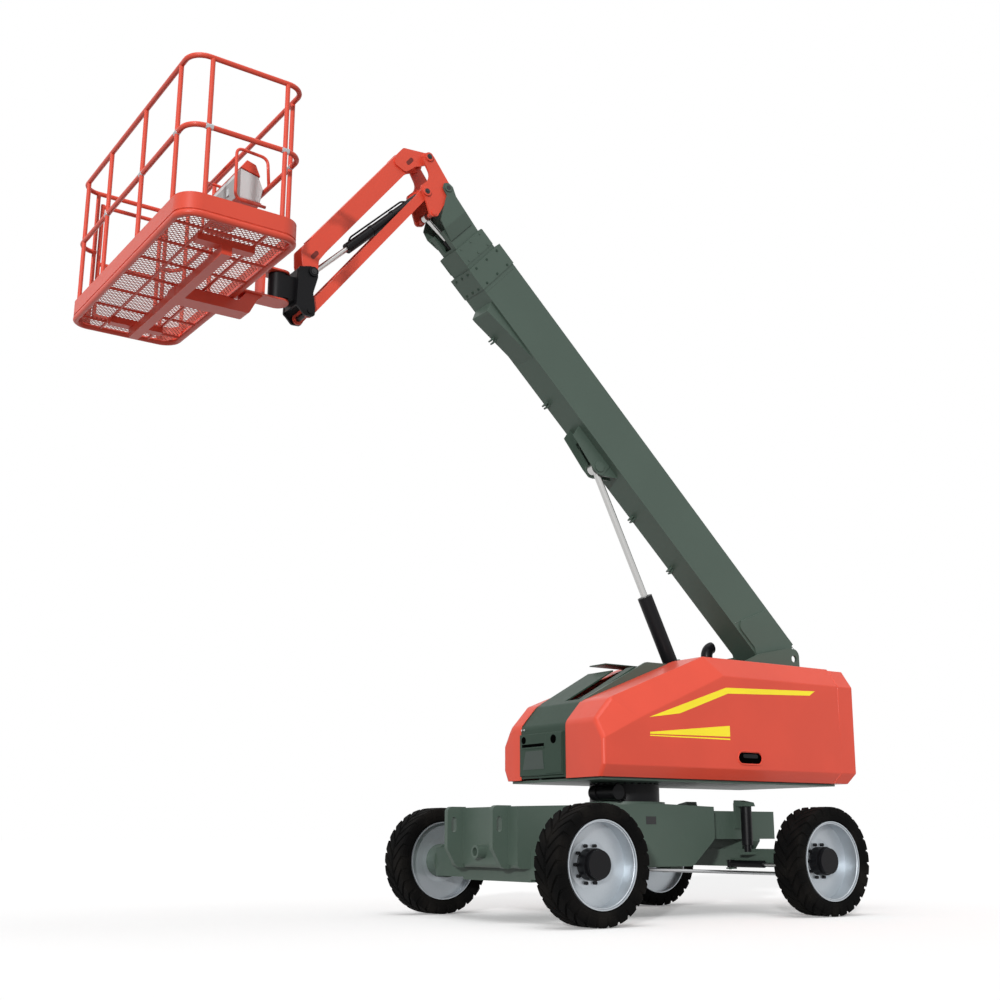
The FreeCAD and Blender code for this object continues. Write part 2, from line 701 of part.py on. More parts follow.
def counterweight():
    rear = S.turret_rear
    seam = S.turret_rear - 200 + S.hood_gap
    corners = [
        (-seam, S.turret_base + 20),
        (-seam, S.turret_roof - 11),
        (-rear + 28, 1966, 30),
        (-rear + 50, 1468, 20),
        (-rear + 6, 1350, 20),
        (-rear, 1207, 20),
        (-rear + 120, S.turret_base + 10, 20),
    ]
    outer = S.turret_half_width
    wall = plate("XZ", corners, -outer, outer)
    inner = bar(-seam - 5, -S.weight_inner, S.tray_half_width - 20, S.tray_bottom + S.tray_thick,
                1900)
    well = bar(-rear - 60, -S.weight_inner + 60, S.weight_well, S.weight_well_top, 2400)
    slope = side_slope(outer, 0)
    return cut(fuse(wall, inner), well, slope, mirrored(slope))


def turntable_frame():
    """The turning floor plate, its collar on the bearing and the lift cylinder's foot cheeks."""
    top = S.tray_bottom + S.tray_thick
    tray = bar(-S.tray_rear, S.tray_front - 20, S.tray_half_width, S.tray_bottom, top)
    collar_low = S.bearing_top + S.running_gap
    collar = round_bar(S.bearing_radius - 30, S.tray_bottom - collar_low, "Z", 0, 0, collar_low)
    foot_x, foot_z = lift_foot()
    cheek = plate("XZ", [
        (foot_x - 230, top - 1), (foot_x + 230, top - 1),
        (foot_x + 75, foot_z + 70, 60), (foot_x - 75, foot_z + 70, 60),
    ], S.foot_eye_width / 2 + 6, S.foot_eye_width / 2 + 6 + S.cheek_thick)
    return fuse(tray, collar, pair(cheek))


def upright(side):
    """One of the two tall plates that carry the boom's pivot, standing on the floor plate."""
    top = S.tray_bottom + S.tray_thick
    rear_edge = [
        (-1100, S.turret_roof - 27, 40),
        (-1500, S.upright_top - 85, 60),
        (-1900, S.upright_top, 60),
        (-2045, S.upright_top, 70),
        (-2045, S.turret_roof - 25, 60),
        (-S.weight_inner + 60, S.weight_well_top - 10, 20),
        (-S.weight_inner + 60, top),
    ]
    if side == "left":
        front_edge = [
            (S.turret_front - 8, top),
            (S.turret_front - 8, S.brow_z, 70),
            (S.brow_x - 9, S.brow_top + 7, 90),
            (-100, S.turret_roof - 33, 60),
        ]
    else:
        front_edge = [
            (S.tray_front - 22, top),
            (S.tray_front - 22, S.brow_z - 20, 60),
            (S.brow_x - 9, S.brow_top - 45, 80),
            (-S.roof_start + 11, S.turret_roof - 27, 60),
        ]
    wall = plate("XZ", front_edge + rear_edge, S.upright_y, S.upright_y + S.upright_thick)
    lug = round_bar(34, 600, "Y", -1975, -300, S.upright_top - 95)
    boss = round_bar(S.boom_pin_radius + 32, S.upright_y - S.base_width / 2 - 22, "Y",
                     S.boom_pivot_x, S.base_width / 2 + 22, S.boom_pivot_z)
    bore = round_bar(S.boom_pin_radius, 600, "Y", S.boom_pivot_x, -300, S.boom_pivot_z)
    plain = cut(fuse(wall, boss), lug, bore)
    if side == "right":
        return mirrored(plain)
    lugs, pins = hinge_lugs(S.upright_y + S.upright_thick + S.hood_gap, 2120)
    pin = round_bar(S.boom_pin_radius, 2 * S.upright_y + 2, "Y", S.boom_pivot_x, 0,
                    S.boom_pivot_z, centred=True)
    return fuse(plain, pin, lugs, pins)


def front_cover():
    """The bent sheet between the hoods, from the front sill up to the boom's well."""
    sheet_thick = S.cover_sheet
    outer = [
        (S.turret_front - 4, S.turret_base + 12),
        (S.turret_front - 4, S.brow_z - 12, 60),
        (S.brow_x - 5, S.brow_top - 7, 80),
        (20, S.turret_roof - 81),
    ]
    inner = [
        (12, S.turret_roof - 81 - sheet_thick),
        (S.brow_x - 5 - sheet_thick * 0.7, S.brow_top - 7 - sheet_thick, 70),
        (S.turret_front - 4 - sheet_thick, S.brow_z - 12 - sheet_thick * 0.4, 50),
        (S.turret_front - 4 - sheet_thick, S.turret_base + 12),
    ]
    skin = plate("XZ", outer + inner, -S.cover_right, S.upright_y)
    slot = bar(-20, 560, S.slot_half_width, 1600, 2300)
    panel = plate("XZ", [
        (S.turret_front - 5, S.turret_base + 30), (S.turret_front + 14, S.turret_base + 30, 8),
        (S.turret_front + 14, S.brow_z - 70, 8), (S.turret_front - 5, S.brow_z - 70),
    ], -S.cover_right + 22, S.upright_y - 20)
    return fuse(cut(skin, slot), panel)


def rear_cover():
    """The fixed roof between the right upright and the right hood, with a hole for the exhaust."""
    roof = block(-S.tray_rear - 10, 0, -S.cover_right, -S.upright_y - S.upright_thick, S.turret_roof - 15,
                 S.turret_roof - 5)
    hole = round_bar(S.exhaust_radius + 8, 60, "Z", S.exhaust_x, S.exhaust_y, S.turret_roof - 40)
    lugs, pins = hinge_lugs(S.cover_right + S.hood_gap, S.turret_roof - 10)
    return fuse(cut(roof, hole), mirrored(fuse(lugs, pins)))


def exhaust_pipe():
    riser = tube(S.exhaust_radius, S.exhaust_radius - S.exhaust_wall, 300, "Z", 0, 0, -300)
    outer = fresh("Part::Torus")
    inner = fresh("Part::Torus")
    for ring, radius in ((outer, S.exhaust_radius), (inner, S.exhaust_radius - S.exhaust_wall)):
        bind(ring, "Radius1", S.exhaust_radius * 1.6)
        bind(ring, "Radius2", radius)
        ring.Angle3 = 75
    bend = cut(outer, inner)
    stand(bend, -S.exhaust_radius * 1.6, 0, 0, Vector(1, 0, 0), 90)
    flange = tube(S.exhaust_radius + 26, S.exhaust_radius - 1, 8, "Z", 0, 0,
                  S.turret_roof - 5 - S.exhaust_z)
    return fuse(riser, bend, flange)


def engine_block():
    low = S.tray_bottom + S.tray_thick
    return block(S.engine_x - S.engine_length, S.engine_x, -S.turret_half_width + 90,
                 -S.upright_y - S.upright_thick - 10, low, low + S.engine_height)


def turntable():
    node("turntable_frame", turntable_frame())
    for side in ("left", "right"):
        node(f"upright_{side}", upright(side))
    node("counterweight", counterweight())
    node("front_cover", front_cover())
    node("rear_cover", rear_cover())
    node("exhaust_pipe", exhaust_pipe(), S.exhaust_x, S.exhaust_y, S.exhaust_z)
    node("engine_block", engine_block())
    node("hood_left", hood("left"))
    node("hood_right", hood("right"))


# ---------------------------------------------------------------- boom

def boom_point(along, up):
    """A point of the boom's own frame, along it and up from its pivot, in the machine."""
    turn = cosine(S.boom_angle)
    rise = sine(S.boom_angle)
    x = S.boom_pivot_x + along * turn - up * rise
    z = S.boom_pivot_z + along * rise + up * turn
    return x, z


LIFT_ANGLE = 63.6


def lift_foot():
    """The lift cylinder's foot pin, on the line that its rod takes down from the boom."""
    pin_x, pin_z = boom_point(S.lift_pin_x, S.lift_pin_z)
    drop = pin_z - S.lift_foot_z
    return pin_x - drop / math.tan(math.radians(LIFT_ANGLE)), S.lift_foot_z


def lift_length():
    pin_x, pin_z = boom_point(S.lift_pin_x, S.lift_pin_z)
    return (pin_z - S.lift_foot_z) / math.sin(math.radians(LIFT_ANGLE))


def box_tube(x0, x1, width, z0, height, wall):
    outer = bar(x0, x1, width / 2, z0, z0 + height)
    inner = bar(as_size(x0) - 10, as_size(x1) + 10, width / 2 - wall, z0 + wall, z0 + height - wall)
    return outer, inner


def wear_pads(x, width, wall, low, height, next_width, next_low, next_height):
    """The pads inside a section's mouth that the next section slides on."""
    gap = S.running_gap
    floor = bar(x, x + 90, next_width / 2 - 30, low + wall - 1, next_low - gap)
    roof = bar(x, x + 90, next_width / 2 - 30, next_low + next_height + gap, low + height - wall + 1)
    side = block(x, x + 90, next_width / 2 + gap, width / 2 - wall + 1, next_low + 60,
                 next_low + next_height - 60)
    return fuse(floor, roof, pair(side))


def base_boom():
    outer, inner = box_tube(-S.base_tail, S.base_length, S.base_width, 0, S.base_height, S.base_wall)
    collar = bar(S.base_length - S.collar_length, S.base_length, S.base_width / 2 + S.collar_thick,
                 -S.collar_thick, S.base_height + S.collar_thick)
    tail = plate("XZ", [
        (-S.base_tail - 62, -40, 60), (150, -70, 60), (300, 30, 60), (620, 30, 60),
        (430, S.base_height - 30, 60), (-S.base_tail - 10, S.base_height - 30, 60),
        (-S.base_tail - 62, 60, 60),
    ], S.base_width / 2 - 2, S.base_width / 2 + 14)
    boss = round_bar(S.boom_pin_radius + 30, 19, "Y", 0, S.base_width / 2 - 1, 0)
    bore = round_bar(S.boom_pin_radius + S.running_gap, 800, "Y", 0, -400, 0)
    tail_parts = pair(fuse(tail, boss))
    pads = wear_pads(S.base_length - 140, S.base_width, S.base_wall, 0, S.base_height,
                     S.mid_width, S.mid_lift, S.mid_height)
    return cut(fuse(cut(fuse(outer, collar), inner), tail_parts, pads), bore)


def lift_bracket():
    """Two triangular cheeks under the base boom, with the pin that the lift rod's eye turns on."""
    half = S.lift_eye_width / 2 + 8
    cheek = plate("XZ", [
        (S.lift_pin_x - 210, 0), (S.lift_pin_x + 260, 0), (S.lift_pin_x + 240, -45, 20),
        (S.lift_pin_x + 20, S.lift_pin_z - 62, 55), (S.lift_pin_x - 70, S.lift_pin_z - 40, 50),
    ], half, half + S.cheek_thick)
    pin = round_bar(S.lift_pin_radius, 2 * (half + S.cheek_thick + 6), "Y", S.lift_pin_x, 0,
                    S.lift_pin_z, centred=True)
    return fuse(pair(cheek), pin)


def mid_boom():
    start = S.mid_front - S.mid_length
    outer, inner = box_tube(start, S.mid_front, S.mid_width, S.mid_lift, S.mid_height, S.mid_wall)
    pads = wear_pads(S.mid_front - 130, S.mid_width, S.mid_wall, S.mid_lift, S.mid_height,
                     S.fly_width, S.fly_lift, S.fly_height)
    return fuse(cut(outer, inner), pads)


def fly_boom():
    start = S.fly_front - S.fly_length
    outer, inner = box_tube(start, S.fly_front, S.fly_width, S.fly_lift, S.fly_height, S.fly_wall)
    shell = cut(outer, inner)
    x = S.fly_front
    top = S.fly_lift + S.fly_height
    ear = plate("XZ", [
        (x - 320, S.fly_lift + 90), (x - 40, S.fly_lift + 60), (x + 40, 180, 40),
        (S.nose_pin_x + 52, S.nose_pin_z - 50, 50), (S.nose_pin_x + 52, S.nose_pin_z + 58, 56),
        (S.nose_pin_x - 110, top + 40, 40), (x - 320, top - 2),
    ], S.fly_width / 2 - S.nose_plate - 6, S.fly_width / 2 - 6)
    bore = round_bar(S.nose_pin_radius + S.running_gap, 400, "Y", S.nose_pin_x, -200, S.nose_pin_z)
    notch = bar(x - 170, x + 10, 52, S.fly_lift - 10, S.fly_lift + 60)
    pin = round_bar(S.level_pin_radius, S.fly_width - S.fly_wall, "Y", S.level_foot_x, 0,
                    S.level_foot_z, centred=True)
    return fuse(cut(shell, notch), pair(cut(ear, bore)), pin)


def boom():
    angle = S.boom_angle
    for name, piece in (("base_boom", base_boom()), ("lift_cylinder_bracket", lift_bracket()),
                        ("mid_boom", mid_boom()), ("fly_boom", fly_boom())):
        node(name, piece, S.boom_pivot_x, 0, S.boom_pivot_z, UP_BY, angle)


def cylinder_barrel(radius, length, eye_radius, eye_width, bore, pin=0):
    """A hydraulic barrel along X from its foot eye, open at its far end for the rod."""
    shell = round_bar(radius, length - eye_radius * 0.8, "X", eye_radius * 0.8, 0, 0)
    room = round_bar(bore, length, "X", eye_radius * 1.2, 0, 0)
    whole = fuse(cut(shell, room), round_bar(eye_radius, eye_width, "Y", 0, 0, 0, centred=True))
    if pin:
        return cut(whole, round_bar(pin, 400, "Y", 0, -200, 0))
    return whole


def cylinder_rod(radius, length, start, eye_radius, eye_width, pin=0):
    """A rod along X whose eye is at the origin; it reaches back into the barrel."""
    shaft = round_bar(radius, length - start, "X", -length + start, 0, 0)
    whole = fuse(shaft, round_bar(eye_radius, eye_width, "Y", 0, 0, 0, centred=True))
    if pin:
        return cut(whole, round_bar(pin, 400, "Y", 0, -200, 0))
    return whole


def lift_cylinder():
    foot_x, foot_z = lift_foot()
    pin_x, pin_z = boom_point(S.lift_pin_x, S.lift_pin_z)
    gap = S.running_gap
    barrel = cylinder_barrel(S.lift_barrel_radius, S.lift_barrel_length, S.lift_eye_radius,
                             S.foot_eye_width, S.lift_rod_radius + gap)
    rod = cylinder_rod(S.lift_rod_radius, lift_length(), S.lift_rod_start, S.lift_eye_radius,
                       S.lift_eye_width, S.lift_pin_radius + gap)
    node("lift_cylinder_barrel", barrel, foot_x, 0, foot_z, UP_BY, LIFT_ANGLE)
    node("lift_cylinder_rod", rod, pin_x, 0, pin_z, UP_BY, LIFT_ANGLE)


# ---------------------------------------------------------------- jib

def nose_point():
    return boom_point(S.nose_pin_x, S.nose_pin_z)


def jib_knuckle():
    """Two plates that hang from the fly's nose and stay level; drawn about the nose pin."""
    corners = [
        (-62, -20, 50), (-40, 40, 30),
        (S.arm_pin_x - 44, S.arm_pin_z + 32, 30), (S.arm_pin_x + 52, S.arm_pin_z + 40, 40),
        (S.arm_pin_x + 52, S.arm_pin_z - 46, 40), (S.arm_pin_x - 30, 60, 90),
        (S.arm_pin_x + 80, -50, 40),
        (S.arm_pin_x + S.link_ahead + 10, S.arm_pin_z - S.link_drop - 64, 40),
        (S.level_pin_x + 34, S.level_pin_z - 40, 34), (S.level_pin_x - 40, S.level_pin_z - 20, 34),
        (0, -110, 60),
    ]
    gap = S.knuckle_half_gap
    side = plate("XZ", corners, gap, gap + S.knuckle_plate)
    web = bar(100, 125, gap + 1, -70, 50)
    pins = [
        round_bar(S.jib_pin_radius, 2 * (gap + S.knuckle_plate + 8), "Y", x, 0, z, centred=True)
        for x, z in (
            (S.arm_pin_x, S.arm_pin_z),
            (S.arm_pin_x + S.link_ahead, S.arm_pin_z - S.link_drop),
        )
    ]
    nose = round_bar(S.nose_pin_radius, 2 * (gap + S.knuckle_plate + 6), "Y", 0, 0, 0, centred=True)
    stub = round_bar(S.jib_pin_radius, S.knuckle_plate + 60, "Y", S.level_pin_x, gap - 52,
                     S.level_pin_z)
    return fuse(pair(side), web, nose, pair(stub), *pins)


def jib_arm():
    """The upper arm: a box beam above the line of its pins, with a fork of plates at each end."""
    length = S.jib_length
    half = S.arm_width / 2
    low = S.arm_rise
    high = S.arm_rise + S.arm_height
    outer, inner = box_tube(190, length - 250, S.arm_width, low, S.arm_height, S.arm_wall)
    beam = cut(outer, inner)
    caps = [bar(x, x + 8, half - 1, low + 1, high - 1) for x in (as_size(190), length - 258)]
    first = plate("XZ", [
        (-40, -38, 34), (40, -38, 30), (150, low - 16, 40), (270, low + 10, 40),
        (300, high - 40, 40), (230, high + 2, 30), (110, high + 2, 30), (-44, 40, 34),
    ], half - 1, half + S.fork_plate)
    last = plate("XZ", [
        (length + 40, -38, 30), (length - 50, -38, 30), (length - 150, low - 6, 40),
        (length - 330, low + 6, 30), (length - 330, high - 10, 40), (length - 120, high - 4, 40),
        (length - 30, 120, 40), (length + 42, 30, 26),
    ], half - 1, half + S.fork_plate)
    bores = [
        round_bar(S.jib_pin_radius + S.running_gap, 400, "Y", x, -200, 0) for x in (0, length)
    ]
    return cut(fuse(beam, *caps, pair(first), pair(last)), *bores)


def jib_link():
    length = S.jib_length
    half = S.link_height / 2
    strap = block(-20, length + 20, S.link_y, S.link_y + S.link_thick, -half, half)
    ends = [
        round_bar(half + 4, S.link_thick, "Y", x, S.link_y, 0) for x in (0, length)
    ]
    bores = [
        round_bar(S.jib_pin_radius + S.running_gap, 400, "Y", x, -200, 0) for x in (0, length)
    ]
    tie = bar(length * 0.5, length * 0.5 + 60, S.link_y + 1, -half + 4, -half + 30)
    return cut(fuse(pair(fuse(strap, *ends)), tie), *bores)


def jib_start():
    x, z = nose_point()
    return x + S.arm_pin_x, z + S.arm_pin_z


def jib_end():
    x, z = jib_start()
    return x + S.jib_length * cosine(S.jib_angle), z + S.jib_length * sine(S.jib_angle)


def jib():
    nose_x, nose_z = nose_point()
    start_x, start_z = jib_start()
    node("jib_knuckle", jib_knuckle(), nose_x, 0, nose_z)
    node("jib_upper_arm", jib_arm(), start_x, 0, start_z, UP_BY, S.jib_angle)
    node("jib_lower_link", jib_link(), start_x + S.link_ahead, 0, start_z - S.link_drop,
         UP_BY, S.jib_angle)
    end_x, end_z = jib_end()
    foot_x = start_x + S.link_ahead
    foot_z = start_z - S.link_drop
    reach_x = float(end_x) - float(foot_x)
    reach_z = float(end_z) - float(foot_z)
    tilt = math.degrees(math.atan2(reach_z, reach_x))
    length = math.hypot(reach_x, reach_z)
    barrel = cylinder_barrel(S.jib_barrel_radius, S.jib_barrel_length, S.jib_eye_radius, 60,
                             S.jib_rod_radius + S.running_gap, S.jib_pin_radius + S.running_gap)
    rod = cylinder_rod(S.jib_rod_radius, length, 120, S.jib_eye_radius, 60)
    node("jib_cylinder_barrel", barrel, foot_x, 0, foot_z, UP_BY, tilt)
    node("jib_cylinder_rod", rod, end_x, 0, end_z, UP_BY, tilt)
    node("jib_head", jib_head(), end_x, 0, end_z)
    level_cylinder()


def level_cylinder():
    """The cylinder inside the fly boom that keeps the jib's knuckle level."""
    foot_x, foot_z = boom_point(S.level_foot_x, S.level_foot_z)
    nose_x, nose_z = nose_point()
    eye_x = nose_x + S.level_pin_x
    eye_z = nose_z + S.level_pin_z
    reach_x = float(eye_x) - float(foot_x)
    reach_z = float(eye_z) - float(foot_z)
    tilt = math.degrees(math.atan2(reach_z, reach_x))
    length = math.hypot(reach_x, reach_z)
    gap = S.running_gap
    barrel = cylinder_barrel(S.level_barrel_radius, S.level_barrel_length, S.level_eye_radius, 50,
                             S.level_rod_radius + gap, S.level_pin_radius + gap)
    rod = cylinder_rod(S.level_rod_radius, length, S.level_rod_start, S.level_eye_radius, 50)
    node("level_cylinder_barrel", barrel, foot_x, 0, foot_z, UP_BY, tilt)
    node("level_cylinder_rod", rod, eye_x, 0, eye_z, UP_BY, tilt)


def jib_head():
    """The black bracket at the jib's end; drawn about its upper pin."""
    link_x = S.link_ahead
    link_z = -S.link_drop
    corners = [
        (-44, -36, 26), (-40, 30, 26), (20, 46, 30), (125, 20, 20),
        (135, -310, 20), (110, -330, 16), (60, link_z - 46, 26), (link_x - 44, link_z - 40, 26),
        (link_x - 44, link_z + 40, 26), (-6, -180, 60),
    ]
    side = plate("XZ", corners, S.knuckle_half_gap, S.knuckle_half_gap + S.knuckle_plate)
    back = bar(113, 131, S.knuckle_half_gap + 1, -300, 5)
    gap = S.knuckle_half_gap + S.knuckle_plate
    low_pin = round_bar(S.jib_pin_radius, 2 * (gap + 8), "Y", link_x, 0, link_z, centred=True)
    stub = round_bar(S.jib_pin_radius, gap + 8 - 42, "Y", 0, 42, 0)
    return fuse(pair(side), back, low_pin, pair(stub))


# ---------------------------------------------------------------- platform

def rotator():
    end_x, end_z = jib_end()
    high = S.rotator_top - S.rotator_bottom
    body = round_bar(S.rotator_radius, high, "Z", S.rotator_x, 0, S.rotator_bottom)
    mount = bar(end_x + 131, S.rotator_x, S.rotator_radius, S.rotator_bottom + 20,
                S.rotator_top - 20)
    return fuse(body, mount)


def platform_arm():
    low = S.rotator_bottom - S.running_gap
    high = S.rotator_top + S.running_gap
    x = S.rotator_x
    half = S.arm_half_width
    beam_low = S.beam_z
    bottom = plate("XY", [
        (x - 85, -half - 20, 80), (x - 85, half + 20, 80), (x + 320, half + 20),
        (x + 320, -half - 20),
    ], low - 14, low)
    top = plate("XY", [
        (x - 85, -half - 20, 80), (x - 85, half + 20, 80), (x + 200, half + 20),
        (x + 200, -half - 20),
    ], high, high + 14)
    back = block(x + 140, x + 160, -half, half, low - 14, high + 14)
    arm = plate("XZ", [
        (x + 150, low - 10), (x + 290, low - 10), (x + 345, beam_low + 90),
        (S.platform_x + 40, beam_low + 90), (S.platform_x + 40, beam_low),
        (x + 262, beam_low, 30), (x + 200, low - 60),
    ], -half, half)
    beam = block(S.platform_x - S.centre_beam_width / 2, S.platform_x + S.centre_beam_width / 2,
                 -950, 950, beam_low, beam_low + S.centre_beam_height)
    return fuse(bottom, top, back, arm, beam)


def loop(z, tube_radius, grow=0):
    """A closed tube round the platform, with rounded corners."""
    half_x = S.platform_depth / 2 - S.floor_tube + grow
    half_y = S.platform_width / 2 - S.floor_tube + grow
    turn = S.corner_radius
    pieces = []
    for x_side in (-1, 1):
        pieces.append(round_bar(tube_radius, 2 * (half_y - turn), "Y",
                                S.platform_x + x_side * half_x, 0, z, centred=True))
        for y_side in (-1, 1):
            bend = fresh("Part::Torus")
            bind(bend, "Radius1", turn)
            bind(bend, "Radius2", tube_radius)
            bend.Angle3 = 90
            start = {(1, 1): 0, (-1, 1): 90, (-1, -1): 180, (1, -1): 270}[(x_side, y_side)]
            stand(bend, S.platform_x + x_side * (half_x - turn), y_side * (half_y - turn), z,
                  Vector(0, 0, 1), start)
            pieces.append(bend)
    for y_side in (-1, 1):
        pieces.append(round_bar(tube_radius, 2 * (half_x - turn), "X", S.platform_x,
                                y_side * half_y, z, centred=True))
    return fuse(*pieces)


def floor_frame():
    z = S.floor_z + S.floor_tube
    half_x = S.platform_depth / 2 - S.floor_tube
    half_y = S.platform_width / 2 - S.floor_tube
    pieces = [loop(z, S.floor_tube)]
    for x_side in (-1, 1):
        pieces.append(round_bar(S.bar_tube, 2 * half_y, "Y", S.platform_x + x_side * 200, 0,
                                z, centred=True))
    for i in range(7):
        y = -half_y * 0.84 + half_y * 0.28 * i
        pieces.append(round_bar(S.bar_tube, 2 * half_x, "X", S.platform_x, y, z, centred=True))
    for y_side in (-1, 1):
        bracket = block(S.platform_x - 212, S.platform_x + 212, y_side * 900 - 40,
                        y_side * 900 + 40, S.beam_z + S.centre_beam_height, z)
        pieces.append(bracket)
    return fuse(*pieces)


def deck():
    z = S.floor_z + S.floor_tube + S.bar_tube
    half_x = S.platform_depth / 2 - 2 * S.floor_tube - 1
    half_y = S.platform_width / 2 - 2 * S.floor_tube - 1
    turn = S.corner_radius - S.floor_tube
    corners = [
        (S.platform_x - half_x, -half_y, turn), (S.platform_x + half_x, -half_y, turn),
        (S.platform_x + half_x, half_y, turn), (S.platform_x - half_x, half_y, turn),
    ]
    return plate("XY", corners, z, z + S.deck_sheet)


def toe_boards():
    z = S.floor_z + 2 * S.floor_tube + 1
    half_x = S.platform_depth / 2 - S.floor_tube
    half_y = S.platform_width / 2 - S.floor_tube
    turn = S.corner_radius
    rings = []
    inside = S.post_tube + S.running_gap
    for grow, spare in ((inside + S.toe_sheet, 0), (inside, 1)):
        corners = [
            (S.platform_x - half_x - grow, -half_y - grow, turn + grow),
            (S.platform_x + half_x + grow, -half_y - grow, turn + grow),
            (S.platform_x + half_x + grow, half_y + grow, turn + grow),
            (S.platform_x - half_x - grow, half_y + grow, turn + grow),
        ]
        rings.append(plate("XY", corners, z - spare, z + S.toe_height + spare))
    door = block(S.platform_x - S.gate_width / 2, S.platform_x + S.gate_width / 2,
                 -half_y - 40, -half_y + 40, z - 2, z + S.toe_height + 2)
    return cut(cut(rings[0], rings[1]), door)


def guard_rails():
    half_x = S.platform_depth / 2 - S.floor_tube
    half_y = S.platform_width / 2 - S.floor_tube
    low = S.floor_z + 2 * S.floor_tube
    pieces = [loop(S.rail_top - S.rail_tube, S.rail_tube)]
    mid = loop(S.mid_rail, S.rail_tube)
    opening = block(S.platform_x - S.gate_width / 2, S.platform_x + S.gate_width / 2,
                    -half_y - 60, -half_y + 60, S.mid_rail - 60, S.mid_rail + 60)
    pieces.append(cut(mid, opening))
    spots = [(half_x, half_y * y) for y in (0.83, 0.25, -0.39, -0.87)]
    spots += [(-half_x, half_y * y) for y in (0.83, -0.39, -0.87)]
    spots += [(half_x * x, half_y) for x in (-0.68, 0.65)]
    spots += [(side * (S.gate_width / 2 + S.post_tube), -half_y) for side in (-1, 1)]
    for x, y in spots:
        pieces.append(round_bar(S.post_tube, S.rail_top - S.rail_tube - low, "Z",
                                S.platform_x + x, y, low))
    return fuse(*pieces)


def gate():
    """The entry gate's frame; drawn about the post that its rings turn on, from the floor up."""
    near = S.post_tube + S.rail_tube + 14
    far = S.gate_width - 8
    low = 60
    high = S.rail_top - S.floor_z - 2 * S.floor_tube - 110
    tube_radius = S.gate_post
    sides = [round_bar(tube_radius, high - low, "Z", x, 0, low) for x in (near, far)]
    levels = (as_size(low) + 17, high / 2, high - 17)
    rails = [round_bar(tube_radius, far - near, "X", near, 0, z) for z in levels]
    rings = [
        tube(S.post_tube + 6, S.post_tube + S.gate_ring_gap, 40, "Z", 0, 0, z)
        for z in (as_size(250), high - 160)
    ]
    straps = [
        block(S.post_tube + 3, near, -5, 5, z + 4, z + 36) for z in (as_size(250), high - 160)
    ]
    return fuse(*sides, *rails, *rings, *straps)


def console():
    x = S.platform_x - S.platform_depth / 2
    box = plate("XZ", [
        (x + 65, 5320, 20), (x + 95, 5180, 20), (x + 260, 5180, 20), (x + 280, 5430, 20),
        (x + 75, 5400, 20),
    ], 60, 60 + S.console_width)
    seat = block(x + S.floor_tube + S.rail_tube, x + 90, 110, 10 + S.console_width,
                 S.mid_rail - 20, S.mid_rail + 24)
    return fuse(box, seat)


def platform():
    node("rotary_actuator", rotator())
    node("platform_arm", platform_arm())
    node("platform_floor_frame", floor_frame())
    node("platform_deck", deck())
    node("platform_toe_boards", toe_boards())
    node("guard_rails", guard_rails())
    half_y = S.platform_width / 2 - S.floor_tube
    node("entry_gate", gate(), S.platform_x - S.gate_width / 2 - S.post_tube, -half_y,
         S.floor_z + 2 * S.floor_tube)
    node("control_console", console())


# ---------------------------------------------------------------- build, check and write

wheels()
chassis()
steering()
turntable()
boom()
lift_cylinder()
jib()
platform()
document.recompute()

limits = [nodes[name].Shape.BoundBox for name in nodes]
middle = (min(limit.XMin for limit in limits) + max(limit.XMax for limit in limits)) / 2
sheet.set("B" + str(list(SIZES).index("centre_x") + 1), f"{middle:.6f}")
document.recompute()

faults = []
for piece in document.Objects:
    if "Invalid" in piece.State or "Error" in piece.State:
        faults.append(f"{piece.Name} {piece.Label} {piece.State}")
for name, piece in nodes.items():
    if piece.Shape.isNull() or not piece.Shape.isValid():
        faults.append(f"{name} has no valid shape")
if faults:
    raise RuntimeError("\n".join(faults))

os.makedirs("parts", exist_ok=True)
for name, piece in nodes.items():
    piece.Shape.exportStep(f"parts/{name}.step")
print(f"{len(nodes)} pieces, middle of the box at {middle:.1f} mm from the axles' middle")
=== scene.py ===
# %% [markdown]
# # A telescopic boom lift, dressed for its picture
#
# X runs forward to the platform, Y to the machine's left and Z up, in metres.

# %%
import json
import math

import bmesh
import bpy
from mathutils import Matrix, Vector


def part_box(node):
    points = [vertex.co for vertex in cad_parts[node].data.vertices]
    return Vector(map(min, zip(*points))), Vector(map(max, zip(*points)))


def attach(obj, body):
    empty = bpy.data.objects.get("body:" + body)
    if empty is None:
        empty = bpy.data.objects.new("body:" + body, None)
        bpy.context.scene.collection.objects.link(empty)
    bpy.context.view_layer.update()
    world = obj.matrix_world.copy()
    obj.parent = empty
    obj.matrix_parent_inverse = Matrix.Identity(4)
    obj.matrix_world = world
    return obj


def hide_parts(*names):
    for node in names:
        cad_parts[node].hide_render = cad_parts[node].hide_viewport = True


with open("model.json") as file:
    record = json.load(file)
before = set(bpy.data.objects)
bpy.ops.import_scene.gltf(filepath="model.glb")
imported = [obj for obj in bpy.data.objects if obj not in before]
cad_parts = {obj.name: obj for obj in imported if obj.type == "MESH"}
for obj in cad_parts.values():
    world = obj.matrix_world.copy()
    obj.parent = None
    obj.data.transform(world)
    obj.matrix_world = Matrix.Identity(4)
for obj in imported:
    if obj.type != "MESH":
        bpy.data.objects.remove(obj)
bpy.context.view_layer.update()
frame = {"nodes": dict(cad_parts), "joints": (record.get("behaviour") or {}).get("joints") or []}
nodes = frame["nodes"]

# %% [markdown]
# ## Shader maths that reads like maths
#
# A `Wire` is one output socket. Adding or multiplying wires adds the math node that does it, so a
# material's recipe is a few lines of arithmetic.

# %%


